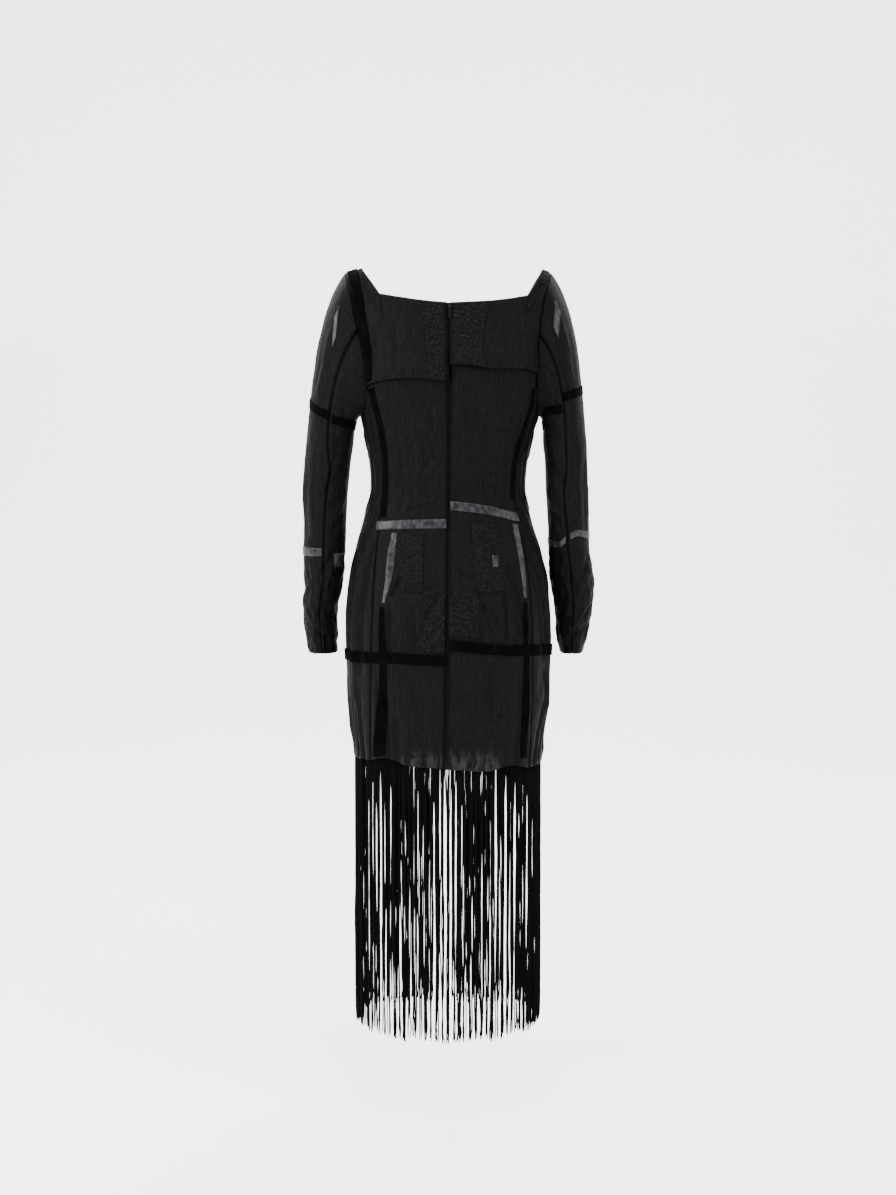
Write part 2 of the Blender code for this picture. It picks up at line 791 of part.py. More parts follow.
def front_skirt_place():
    left_x = front_edge(-1, -1)
    right_x = front_edge(1, -1)
    low_at = around_front(HEM)
    high_at = around_front(WAIST, -SEAM_GAP / 2)
    return between_levels(left_x, right_x, low_at, high_at, front_angle)


BACK_COLUMNS = even(7)
SIDE_COLUMNS = even(10)
FRONT_COLUMNS = even(12)
YOKE_COLUMNS = [0, 0.15, 0.30, 0.45, 0.60, 0.72, 0.84, 0.92, 1]
YOKE_ROWS = [0, 0.14, 0.30, 0.46, 0.60, 0.72, 0.84, 0.93, 1]
NECK_COLUMNS = [0, 0.08, 0.16, 0.25, 0.34, 0.42, 0.50, 0.58, 0.66, 0.75, 0.84, 0.92, 1]
SKIRT_ROWS = even(11)
BODICE_ROWS = even(8)
CHEST_ROWS = [0.17, 0.34, 0.50, 0.65, 0.78, 0.90, 1]


def rows_to(corner, low, high):
    """Shares up a bodice panel: even rows up to the corner of the armhole."""
    share = (corner - low) / (high - low)
    return [row * share for row in BODICE_ROWS]


def make_body():
    """Panels that meet at a seam have their corners at the same heights along it."""
    panels = {}
    for side, word in ((-1, "left"), (1, "right")):
        place = yoke_place(side)
        point = on_torso(place, yoke_lift(side, place))
        panels["yoke", side] = Panel(f"back_yoke_{word}", place, point, YOKE_COLUMNS, YOKE_ROWS)

        corner = armhole_place(side, SIDE_SHARE)[1]
        place = back_bodice_place(side)
        rows = rows_to(corner, place(1, 0)[1], place(1, 1)[1]) + [1]
        panels["bodice", side] = Panel(f"back_bodice_{word}", place, on_torso(place), BACK_COLUMNS, rows)

        place = back_skirt_place(side)
        waist = place(1, 1)[1]
        panels["skirt", side] = Panel(f"back_skirt_{word}", place, on_torso(place), BACK_COLUMNS, SKIRT_ROWS)

        place = side_panel_place(side)
        share = (waist - place(0, 0)[1]) / (place(0, 1)[1] - place(0, 0)[1])
        rows = [row * share for row in SKIRT_ROWS]
        rows += [share + row * (1 - share) for row in BODICE_ROWS[1:]]
        panels["side", side] = Panel(f"side_panel_{word}", place, on_torso(place), SIDE_COLUMNS, rows)

    place = front_bodice_place()
    rows = rows_to(armhole_place(1, SIDE_SHARE)[1], place(1, 0)[1], place(1, 1)[1])
    share = rows[-1]
    rows += [share + row * (1 - share) for row in CHEST_ROWS]
    panels["front_bodice"] = Panel("front_bodice", place, on_torso(place), NECK_COLUMNS, rows)
    place = front_skirt_place()
    panels["front_skirt"] = Panel("front_skirt", place, on_torso(place), FRONT_COLUMNS, SKIRT_ROWS)
    return panels


def sleeve_form(side, turn, down):
    """The middle line of a sleeve's outer face, without folds; turn is in degrees."""
    outer = 1 if side < 0 else 3
    height = UPPER_ARM if down < 1 else UPPER_ARM + (down - 1) * (CUFF - UPPER_ARM)
    wide = value(SLEEVE, height, outer)
    narrow = value(SLEEVE, height, outer + 1)
    angle = math.radians(turn)
    ring = Vector(
        (
            side * ((wide + narrow) / 2 + (wide - narrow) / 2 * math.cos(angle)),
            value(SLEEVE, height, 5) - value(SLEEVE, height, 6) * math.sin(angle),
            height,
        )
    )
    if down >= 1:
        return ring
    share = abs(math.remainder(turn, 360)) / 180
    hole_angle, hole_height = armhole_place(side, share if math.sin(angle) >= 0 else 2 - share)
    start = torso_form(hole_angle, hole_height)
    under = (1 - math.cos(angle)) / 2
    leave = Vector((side * (0.62 + 0.33 * under), -0.12 * math.sin(angle), -0.80 + 0.50 * under)).normalized()
    away = Vector((side, 0, 0.35)).normalized()
    start += away * ARMHOLE_GAP
    reach = (ring - start).length
    first = (2 * down**3 - 3 * down**2 + 1) * start
    first += (down**3 - 2 * down**2 + down) * reach * CAP_PULL * leave
    arrive = Vector((side * 0.10, 0, -1)).normalized()
    return first + (3 * down**2 - 2 * down**3) * ring + (down**3 - down**2) * reach * arrive


def sleeve_point(side, turn, down, out):
    """A point on a sleeve, a distance out from its outer face."""
    step = 1e-3
    round_it = sleeve_form(side, turn + 0.5, down) - sleeve_form(side, turn - 0.5, down)
    down_it = sleeve_form(side, turn, down + step) - sleeve_form(side, turn, max(down - step, 0.0))
    normal = round_it.cross(down_it).normalized() * side
    base = sleeve_form(side, turn, down)
    rows = [row[1:] for row in SLEEVE_FOLDS if row[0] == side]
    near = math.radians(turn if turn > -60 else turn + 360)
    return base + normal * (out + fold_depth(rows, near, base.z, SLEEVE_FOLD_RADIUS))


def down_at(side, turn, z):
    """The share down a sleeve at which its outer face is at a height."""
    low, high = 0.0, 2.0
    for _ in range(30):
        middle = (low + high) / 2
        if sleeve_form(side, turn, middle).z > z:
            low = middle
        else:
            high = middle
    return (low + high) / 2


def armhole_turns(side, panels):
    """The turns of a sleeve at which the corners of the panels round its armhole come."""
    rows = [(height_of(row[3]), row[0]) for row in ARMHOLE]
    turns = [0.0]
    yoke = panels["yoke", side]
    for row in yoke.rows[:-1]:
        turns.append(180 * value(rows, yoke.place(1, row)[1]))
    for column in SIDE_COLUMNS:
        turns.append(180 * (SIDE_SHARE + column * 2 * (1 - SIDE_SHARE)))
    front = panels["front_bodice"]
    for row in front.rows[:-1]:
        height = front.place(0 if side < 0 else 1, row)[1]
        if height > armhole_place(side, SIDE_SHARE)[1] + 0.004:
            turns.append(360 - 180 * value(rows, height))
    kept = []
    for turn in sorted(turns):
        if not kept or turn - kept[-1] > 3:
            kept.append(turn)
    return kept


SLEEVE_ROWS = [0, 0.15, 0.33, 0.53, 0.76, 1.0, 1.12, 1.24, 1.36, 1.49, 1.62, 1.75, 1.88, 2.0]


def make_sleeves(panels):
    """Each sleeve has a top and an under part, joined along the back and the front of the arm."""
    half_gap = math.degrees(SEAM_GAP / SLEEVE_FOLD_RADIUS)
    shares = [row / 2 for row in SLEEVE_ROWS]
    for side, word in ((-1, "left"), (1, "right")):
        turns = armhole_turns(side, panels)
        back_start = value(BACK_TURN, 0, side_column(side))
        front_start = FRONT_TURN + 360

        def top(s, t, side=side):
            back = value(BACK_TURN, 2 * t, side_column(side)) - half_gap
            start = FRONT_TURN + half_gap
            return Vector((start + s * (back - start), 2 * t))

        def under(s, t, side=side):
            back = value(BACK_TURN, 2 * t, side_column(side)) + half_gap
            return Vector((back + s * (FRONT_TURN + 360 - half_gap - back), 2 * t))

        over = [turn - 360 for turn in turns if turn > front_start] + [t for t in turns if t < back_start]
        below = [turn for turn in turns if back_start < turn < front_start]
        for part, place, inside, start, end in (
            ("top", top, over, FRONT_TURN, back_start),
            ("under", under, below, back_start, front_start),
        ):

            def point(s, t, out, side=side, place=place):
                turn, down = place(s, t)
                return sleeve_point(side, turn, down, out)

            columns = shares_of(lines_between(inside, start, end))
            panels[f"sleeve_{part}", side] = Panel(f"sleeve_{part}_{word}", place, point, columns, shares)


def ribbon(name, look, panel, columns, rows, across=None, up=None, layer=1):
    """A strip or patch laid on a panel, from the panel's own points, moved out.

    columns and rows are shares of the panel. across(t) or up(s) bends the strip's sides; layer 2
    lies over another ribbon.
    """

    def point(s, t, out):
        on_s = columns[0] + s * (columns[-1] - columns[0])
        on_t = rows[0] + t * (rows[-1] - rows[0])
        if across:
            low, high = across(on_t)
            on_s = low + s * (high - low)
        if up:
            low, high = up(on_s)
            on_t = low + t * (high - low)
        return panel.facet(on_s, on_t, out)

    cloth(name, look, point, shares_of(columns), shares_of(rows), TRIM, layer * (LAY_GAP + TRIM))


def strip_down(name, look, panel, side, rows):
    """A strip down the back, about a line given by heights, middles and half-widths."""
    ends = [panel.spot(back_angle(side * row[1], row[0]), row[0])[1] for row in (rows[-1], rows[0])]

    def across(t):
        height = panel.place(0.7, t)[1]
        middle, half = value(rows, height), value(rows, height, 2)
        sides = [panel.spot(back_angle(side * (middle + edge * half), height), height)[0] for edge in (-1, 1)]
        return min(sides[0], 0.995), min(sides[1], 0.995)

    lines = lines_between(panel.rows, ends[0], ends[1])
    ribbon(name, look, panel, [0, 0.5, 1], lines, across=across, layer=STRIP_LAYER)


def block(name, look, panel, near, far, top, bottom, layer=1):
    """A patch that follows the grain of its panel, between two distances and two heights."""
    height = (top + bottom) / 2
    middle = (near + far) / 2
    low_s = panel.spot(back_angle(near, height), height)[0]
    high_s = panel.spot(back_angle(far, height), height)[0]
    low_t = panel.spot(back_angle(middle, bottom), bottom)[1]
    high_t = panel.spot(back_angle(middle, top), top)[1]
    columns = lines_between(panel.columns, low_s, high_s)
    ribbon(name, look, panel, columns, lines_between(panel.rows, low_t, high_t), layer=layer)


def band_over(name, look, parts, layer):
    """A band over one or more panels in turn: parts holds a panel, its columns and its two lines."""
    stations = []
    for panel, columns, lines in parts:
        for s in columns:
            stations.append((panel, s, lines))

    def point(s, t, out):
        panel, on_s, lines = stations[round(s * (len(stations) - 1))]
        angle = panel.place(on_s, 0.5)[0]
        for _ in range(3):
            height = lines(angle)[0] + t * (lines(angle)[1] - lines(angle)[0])
            on_t = panel.spot(angle, height)[1]
            angle = panel.place(on_s, on_t)[0]
        return panel.facet(on_s, on_t, out)

    cloth(name, look, point, even(len(stations) - 1), [0, 1], TRIM, layer * (LAY_GAP + TRIM))


def make_hip_band(side, word, panels):
    middle_at = edge_at(HIP_BAND, side)

    def lines(angle):
        return middle_at(angle) - HIP_BAND_HALF, middle_at(angle) + HIP_BAND_HALF

    parts = [
        (panels["skirt", side], [BAND_START] + BACK_COLUMNS[1:], lines),
        (panels["side", side], SIDE_COLUMNS[1:-1] + [HIP_BAND_END], lines),
    ]
    band_over(f"hip_velvet_{word}", "velvet", parts, HIP_LAYER)


def sleeve_band(name, look, panel, side, rows, halves):
    """A band round a sleeve about a line of turns and heights."""
    ends = rows[0][:2], rows[-1][:2]
    start, end = [panel.spot(turn, down_at(side, turn, z))[0] for turn, z in ends]

    def up(s):
        turn = panel.place(s, 0.5)[0]
        for _ in range(3):
            z = value(rows, turn)
            half = halves if isinstance(halves, float) else value(halves, turn)
            downs = [down_at(side, turn, z + edge * half) for edge in (-1, 1)]
            turn = panel.place(s, (downs[0] + downs[1]) / 4)[0]
        return downs[0] / 2, downs[1] / 2

    columns = lines_between(panel.columns, start, end)
    ribbon(name, look, panel, columns, [0, 0.5, 1], up=up, layer=STRIP_LAYER)


def make_velvet(panels):
    for side, word in ((-1, "left"), (1, "right")):
        top = armhole_place(side, SIDE_SHARE)[1] - VELVET_BELOW_CORNER
        width = BODICE_VELVET_WIDTH[side]
        line = [
            (row[0], row[side_column(side)] - width / 2 - SEAM_CLEAR, width / 2)
            for row in PRINCESS
            if BODICE_VELVET_LOW[side] < row[0] < top
        ]
        for height in (BODICE_VELVET_LOW[side], top):
            seam = value(PRINCESS, height, side_column(side))
            line.append((height, seam - width / 2 - SEAM_CLEAR, width / 2))
        line.sort(reverse=True)
        strip_down(f"bodice_velvet_{word}", "velvet", panels["bodice", side], side, line)
        strip_down(f"skirt_velvet_{word}", "velvet", panels["skirt", side], side, SKIRT_VELVET[side])
        make_hip_band(side, word, panels)
        for part in ("top", "under"):
            sleeve_band(
                f"sleeve_velvet_{part}_{word}",
                "velvet",
                panels[f"sleeve_{part}", side],
                side,
                SLEEVE_VELVET[side, part],
                SLEEVE_VELVET_HALF,
            )
    yoke = panels["yoke", -1]
    columns = lines_between(yoke.columns, *ARMHOLE_VELVET_COLUMNS)
    rows = lines_between(yoke.rows, *ARMHOLE_VELVET_ROWS)
    ribbon("armhole_velvet_left", "velvet", yoke, columns, rows, layer=ARMHOLE_LAYER)


def make_waist_band(side, word, panels):
    """The waist ribbon covers the waist seam, half on the bodice and half on the skirt."""
    upper, lower = panels["bodice", side], panels["skirt", side]
    end = upper.spot(back_angle(side * WAIST_BAND_END[side], WAIST_BAND_HEIGHT), WAIST_BAND_HEIGHT)[0]
    columns = lines_between(BACK_COLUMNS, BAND_START, min(end, BAND_LIMIT))
    middle_at = edge_at(WAIST, side)

    def point(s, t, out):
        on_s = columns[0] + s * (columns[-1] - columns[0])
        panel = upper if t > 0.5 else lower
        angle = panel.place(on_s, 0.0 if t > 0.5 else 1.0)[0]
        on_t = panel.spot(angle, middle_at(angle) + (2 * t - 1) * WAIST_BAND_HALF)[1]
        return panel.facet(on_s, min(max(on_t, 0.0), 1.0), out)

    cloth(f"waist_satin_{word}", "satin", point, shares_of(columns), [0, 0.5, 1], TRIM, LAY_GAP + TRIM)


def make_satin(panels):
    for side, word in ((-1, "left"), (1, "right")):
        make_waist_band(side, word, panels)
        strip_down(f"hip_satin_{word}", "satin", panels["skirt", side], side, HIP_SATIN[side])
    for name, (side, part, rows) in SLEEVE_SATIN.items():
        halves = [(row[0], row[2]) for row in rows]
        sleeve_band(name, "satin", panels[f"sleeve_{part}", side], side, rows, halves)
    block("hip_satin_tab_right", "satin", panels["skirt", 1], *SATIN_TAB, layer=TAB_LAYER)


def make_lace(panels):
    for name, (near, far, top, bottom) in LACE.items():
        side = math.copysign(1, far)
        block(name, "lace", panels["skirt", side], near, far, top, bottom)
    for side, word in ((-1, "left"), (1, "right")):
        yoke = panels["yoke", side]
        low, high = YOKE_LACE[side]
        rows = lines_between(yoke.rows, *YOKE_LACE_ROWS)
        ribbon(f"yoke_lace_{word}", "lace", yoke, lines_between(yoke.columns, low, high), rows)


def hem_stations(side, panels):
    """Where the corners of the panels come at the hem, from the centre back to the centre front."""
    places = [panels["skirt", side].place(s, 0) for s in BACK_COLUMNS]
    places += [panels["side", side].place(s, 0) for s in SIDE_COLUMNS]
    shares = [s for s in FRONT_COLUMNS if (s - 0.5) * side >= 0]
    if side > 0:
        shares = shares[::-1]
    for s in shares:
        angle, height = panels["front_skirt"].place(s, 0)
        places.append(Vector((math.remainder(angle, 2 * math.pi), height)))
    places[-1][0] = side * (math.pi - 0.002)
    return places


def scatter(number):
    """An even-handed scatter between -1 and 1 that is the same on each run."""
    return 2 * ((number * 0.6180339887) % 1) - 1


def make_fringe(side, word, panels):
    """A strip inside the hem whose lower edge runs out into strands."""
    corners = []
    for angle, height in hem_stations(side, panels):
        outer = torso_point(angle, height, -WALL - LAY_GAP)
        inner = torso_point(angle, height, -WALL - LAY_GAP - STRIP_THICK)
        if corners and (outer - corners[-1][0]).length < 0.002:
            continue
        corners.append((outer, inner))
    stations = []
    roots = []
    for (outer, inner), (next_outer, next_inner) in zip(corners, corners[1:]):
        length = (next_outer - outer).length
        count = max(1, round(length / STRAND_PITCH))
        stations.append((outer, inner))
        for strand in range(count):
            roots.append(len(stations))
            for edge in (-1, 1):
                share = (strand + 0.5) / count + edge * STRAND_WIDTH / 2 / length
                stations.append((outer.lerp(next_outer, share), inner.lerp(next_inner, share)))
    stations.append(corners[-1])

    mesh = bmesh.new()
    bmesh.ops.create_grid(mesh, x_segments=len(stations) - 1, y_segments=1, size=0.5)
    for vertex in mesh.verts:
        station = round((vertex.co.x + 0.5) * (len(stations) - 1))
        vertex.co = stations[station][0 if vertex.co.y < 0 else 1] + Vector((0, 0, STRIP_RISE))
    at_station = {}
    for face in mesh.faces:
        at_station[min(vertex.index % len(stations) for vertex in face.verts)] = face
    ends = [at_station[root] for root in roots]
    grown = bmesh.ops.extrude_face_region(mesh, geom=mesh.faces[:], use_keep_orig=True)
    for vertex in grown["geom"]:
        if isinstance(vertex, bmesh.types.BMVert):
            vertex.co.z += STRIP_HEIGHT
    bmesh.ops.recalc_face_normals(mesh, faces=mesh.faces[:])

    for step, (share, flare, size) in enumerate(STRAND_STEPS):
        ends = bmesh.ops.extrude_discrete_faces(mesh, faces=ends)["faces"]
        for number, face in enumerate(ends):
            middle = face.calc_center_median()
            outwards = Vector((middle.x, middle.y, 0)).normalized()
            beside = Vector((-outwards.y, outwards.x, 0))
            end = STRAND_END + STRAND_UNEVEN * scatter(7 * number + side)
            target = Vector((middle.x, middle.y, middle.z + share * (end - middle.z)))
            target += outwards * (STRAND_FLARE * flare + STRAND_DRIFT * scatter(5 * number + 17 * step))
            target += beside * STRAND_DRIFT * scatter(3 * number + 11 * step)
            for vertex in face.verts:
                offset = vertex.co - middle
                offset.z = 0
                vertex.co = target + offset * size

    add(f"fringe_{word}", "yarn", mesh)


def local_frame():
    """A frame on the centre back at the slider: X across, Y out of the cloth, Z up along it."""
    height, step = SLIDER_HEIGHT, SLIDER_LENGTH / 4
    angle = back_angle(centre_back(height), height)
    origin = torso_point(angle, height, 0.0)
    up = (torso_point(angle, height + step, 0.0) - torso_point(angle, height - step, 0.0)).normalized()
    across = Vector((1, 0, 0))
    out = across.cross(up).normalized()
    turned = Matrix((across, out, up)).transposed().to_4x4()
    return Matrix.Translation(origin) @ turned


def box(name, size, at, turned):
    """A bevelled block at a place in a frame."""
    mesh = bmesh.new()
    bmesh.ops.create_cube(mesh, size=1.0)
    bmesh.ops.scale(mesh, vec=size, verts=mesh.verts[:])
    bmesh.ops.bevel(
        mesh,
        geom=mesh.edges[:],
        offset=min(size) * BLOCK_BEVEL,
        segments=1,
        profile=0.5,
        affect="EDGES",
        material=-1,
    )
    bmesh.ops.translate(mesh, vec=at, verts=mesh.verts[:])
    bmesh.ops.transform(mesh, matrix=turned, verts=mesh.verts[:])
    bmesh.ops.recalc_face_normals(mesh, faces=mesh.faces[:])
    return add(name, "metal", mesh)


def rod(name, radius, length, at, turned, sides=16):
    """A round bar along X at a place in a frame."""
    mesh = bmesh.new()
    bmesh.ops.create_cone(
        mesh, cap_ends=True, segments=sides, radius1=radius, radius2=radius, depth=length
    )
    bmesh.ops.rotate(mesh, cent=(0, 0, 0), matrix=Matrix.Rotation(math.pi / 2, 3, "Y"), verts=mesh.verts[:])
    bmesh.ops.translate(mesh, vec=at, verts=mesh.verts[:])
    bmesh.ops.transform(mesh, matrix=turned, verts=mesh.verts[:])
    bmesh.ops.recalc_face_normals(mesh, faces=mesh.faces[:])
    return add(name, "metal", mesh)


def combine(piece, others, how):
    """Joins other shapes to a piece, or cuts them from it, and removes them."""
    for other in others:
        step = piece.modifiers.new(how.lower(), "BOOLEAN")
        step.operation = how
        step.solver = "EXACT"
        step.object = other
    graph = bpy.context.evaluated_depsgraph_get()
    result = bpy.data.meshes.new_from_object(piece.evaluated_get(graph))
    piece.modifiers.clear()
    piece.data = result
    for other in others:
        bpy.data.objects.remove(other, do_unlink=True)
    return piece


def make_zip():
    frame = local_frame()
    base = SEAM_GAP
    body = box(
        "zip_slider",
        (SLIDER_WIDTH, SLIDER_DEPTH, SLIDER_LENGTH),
        (0, base + SLIDER_DEPTH / 2, 0),
        frame,
    )
    ears = []
    ear_height = PIN_OUT + EAR_PAST_PIN - base - SLIDER_DEPTH / 2
    for side in (-1, 1):
        ears.append(
            box(
                f"ear_{side}",
                (EAR_THICK, ear_height, EAR_LENGTH),
                (side * (SLIDER_WIDTH - EAR_THICK) / 2, base + SLIDER_DEPTH / 2 + ear_height / 2, -PIN_DROP),
                frame,
            )
        )
    pin = rod("pin", PIN_RADIUS, SLIDER_WIDTH - EAR_THICK, (0, PIN_OUT, -PIN_DROP), frame)
    combine(body, ears + [pin], "UNION")

    lean = Matrix.Rotation(-TAB_LEAN, 4, "X")
    hung = frame @ Matrix.Translation((0, PIN_OUT, -PIN_DROP)) @ lean
    middle = (0, 0, -TAB_LENGTH / 2 - TAB_BELOW_PIN)
    tab = box("zip_pull_tab", (TAB_WIDTH, TAB_THICK, TAB_LENGTH), middle, hung)
    eye = rod("eye", EYE_RADIUS, TAB_WIDTH - EYE_NARROWER, (0, 0, 0), hung, sides=20)
    hole = rod("eye_bore", EYE_BORE, TAB_WIDTH * 2, (0, 0, 0), hung, sides=20)
    combine(tab, [eye], "UNION")
    combine(tab, [hole], "DIFFERENCE")
    pivot = hung.translation
    tab.data.transform(Matrix.Translation(-pivot))
    tab.location = pivot


def main():
    clear_scene()
    collection = bpy.data.collections.new("fringe_dress")
    bpy.context.scene.collection.children.link(collection)
    panels = make_body()
    make_sleeves(panels)
    make_velvet(panels)
    make_satin(panels)
    make_lace(panels)
    make_fringe(-1, "left", panels)
    make_fringe(1, "right", panels)
    make_zip()


main()
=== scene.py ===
import math
from functools import lru_cache

import bmesh
import bpy
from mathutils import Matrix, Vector, noise


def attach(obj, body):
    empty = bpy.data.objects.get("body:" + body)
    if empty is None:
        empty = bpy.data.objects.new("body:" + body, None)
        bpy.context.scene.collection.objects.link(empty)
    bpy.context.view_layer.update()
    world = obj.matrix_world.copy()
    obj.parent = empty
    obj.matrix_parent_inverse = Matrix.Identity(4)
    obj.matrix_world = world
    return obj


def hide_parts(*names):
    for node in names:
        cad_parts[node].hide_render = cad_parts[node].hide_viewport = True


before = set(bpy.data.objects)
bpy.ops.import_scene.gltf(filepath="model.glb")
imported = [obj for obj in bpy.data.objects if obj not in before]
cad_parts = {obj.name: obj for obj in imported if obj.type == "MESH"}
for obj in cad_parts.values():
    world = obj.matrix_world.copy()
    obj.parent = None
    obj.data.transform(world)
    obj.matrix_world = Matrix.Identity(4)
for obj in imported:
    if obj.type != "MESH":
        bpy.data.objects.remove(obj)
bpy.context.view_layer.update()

# The studio: a plain pale floor that curves up into a backdrop, soft lamps overhead and to the
# sides, and a camera a little above the dress's middle, three metres behind it and tilted down.
FLOOR = -1.360
SWEEP_BACK = 4.2
SWEEP_HIGH = 5.0
CAMERA_AT = (0.0, -3.0, -0.191)
CAMERA_TILT = 83.70
LENS = 56.4
LAMPS = (
    # name, place, size, power
    ("lamp_above", (0.2, -1.2, 2.4), 1.6, 130.0),
    ("lamp_left", (-2.7, -1.5, 0.7), 1.3, 190.0),
    ("lamp_right", (2.7, -1.9, 0.9), 1.6, 90.0),
    ("lamp_front_left", (-1.8, 2.2, 1.6), 1.6, 90.0),
    ("lamp_front_right", (1.8, 2.2, 1.6), 1.6, 90.0),
)


def add_node(tree, kind, inputs=(), **settings):
    """A shader node with its settings, and its inputs given as values or as other nodes' sockets."""
    made = tree.nodes.new(kind)
    for name, setting in settings.items():
        setattr(made, name, setting)
    for name, given in dict(inputs).items():
        if isinstance(given, bpy.types.NodeSocket):
            tree.links.new(given, made.inputs[name])
        else:
            made.inputs[name].default_value = given
    return made


def new_finish(name, roughness, metallic=0.0, specular=0.5, sheen=0.0, sheen_roughness=0.5):
    """A material with its one surface shader; colour and bump are linked by what follows it."""
    material = bpy.data.materials.new(name)
    material.use_nodes = True
    shader = material.node_tree.nodes["Principled BSDF"]
    shader.inputs["Roughness"].default_value = roughness
    shader.inputs["Metallic"].default_value = metallic
    shader.inputs["Specular IOR Level"].default_value = specular
    shader.inputs["Sheen Weight"].default_value = sheen
    shader.inputs["Sheen Roughness"].default_value = sheen_roughness
    return material, material.node_tree, shader


def grain(tree, scale, stretch=(1.0, 1.0, 1.0), detail=3.0, roughness=0.55):
    """Noise on the piece's own coordinates, stretched along the grain of the cloth."""
    place = add_node(tree, "ShaderNodeTexCoord").outputs["Object"]
    turned = add_node(tree, "ShaderNodeMapping", {"Vector": place, "Scale": stretch})
    made = add_node(
        tree,
        "ShaderNodeTexNoise",
        {"Vector": turned.outputs["Vector"], "Scale": scale, "Detail": detail, "Roughness": roughness},
    )
    return made.outputs["Fac"]


def shades(tree, factor, dark, light, low=0.3, high=0.7):
    """Two shades of one colour, mixed by a pattern."""
    ramp = add_node(tree, "ShaderNodeValToRGB", {"Fac": factor})
    ramp.color_ramp.elements[0].position = low
    ramp.color_ramp.elements[0].color = (*dark, 1.0)
    ramp.color_ramp.elements[1].position = high
    ramp.color_ramp.elements[1].color = (*light, 1.0)
    return ramp.outputs["Color"]


def relief(tree, shader, layers):
    """Bumps laid over each other: each layer is a pattern, its height in metres and its strength."""
    normal = None
    for height, distance, strength in layers:
        inputs = {"Height": height, "Distance": distance, "Strength": strength}
        if normal is not None:
            inputs["Normal"] = normal
        normal = add_node(tree, "ShaderNodeBump", inputs).outputs["Normal"]
    tree.links.new(normal, shader.inputs["Normal"])


backdrop_mesh = bmesh.new()
bmesh.ops.create_grid(backdrop_mesh, x_segments=1, y_segments=1, size=1.0)
for vertex in backdrop_mesh.verts:
    vertex.co = Vector((vertex.co.x * 7.0, -7.0 if vertex.co.y < 0 else SWEEP_BACK, FLOOR))
far_edge = [edge for edge in backdrop_mesh.edges if all(v.co.y > 0 for v in edge.verts)]
wall = bmesh.ops.extrude_edge_only(backdrop_mesh, edges=far_edge)
for vertex in wall["geom"]:
    if isinstance(vertex, bmesh.types.BMVert):
        vertex.co.z = SWEEP_HIGH
bmesh.ops.bevel(
    backdrop_mesh,
    geom=[
        edge
        for edge in backdrop_mesh.edges
        if all(abs(corner.co.y - SWEEP_BACK) < 1e-6 and corner.co.z < 0 for corner in edge.verts)
    ],
    offset=1.6,
    segments=24,
    profile=0.5,
    affect="EDGES",
    material=-1,
)
backdrop_data = bpy.data.meshes.new("backdrop")
backdrop_mesh.to_mesh(backdrop_data)
backdrop_mesh.free()
backdrop_data.shade_smooth()
backdrop = bpy.data.objects.new("backdrop", backdrop_data)
bpy.context.scene.collection.objects.link(backdrop)
paper, paper_tree, paper_shader = new_finish("backdrop_paper", 0.95, specular=0.1)
paper_tree.links.new(
    shades(paper_tree, grain(paper_tree, 3.0), (0.87, 0.87, 0.87), (0.89, 0.89, 0.89)),
    paper_shader.inputs["Base Color"],
)
paper_shader.inputs["Emission Color"].default_value = (1.0, 1.0, 1.0, 1.0)
paper_shader.inputs["Emission Strength"].default_value = 1.25
backdrop_data.materials.append(paper)

for lamp_name, place, size, power in LAMPS:
    lamp_data = bpy.data.lights.new(lamp_name, "AREA")
    lamp_data.shape = "DISK"
    lamp_data.size = size
    lamp_data.energy = power
    lamp = bpy.data.objects.new(lamp_name, lamp_data)
    lamp.location = place
    lamp.rotation_euler = (Vector((0, 0, -0.6)) - Vector(place)).to_track_quat("-Z", "Y").to_euler()
    bpy.context.scene.collection.objects.link(lamp)

world = bpy.data.worlds.new("studio")
world.use_nodes = True
world.node_tree.nodes["Background"].inputs["Color"].default_value = (0.96, 0.97, 1.0, 1.0)
world.node_tree.nodes["Background"].inputs["Strength"].default_value = 1.34
bpy.context.scene.world = world

camera_data = bpy.data.cameras.new("camera")
camera_data.sensor_fit = "VERTICAL"
camera_data.sensor_height = 36.0
camera_data.lens = LENS
camera = bpy.data.objects.new("camera", camera_data)
camera.location = CAMERA_AT
camera.rotation_euler = (math.radians(CAMERA_TILT), 0.0, 0.0)
bpy.context.scene.collection.objects.link(camera)
bpy.context.scene.camera = camera

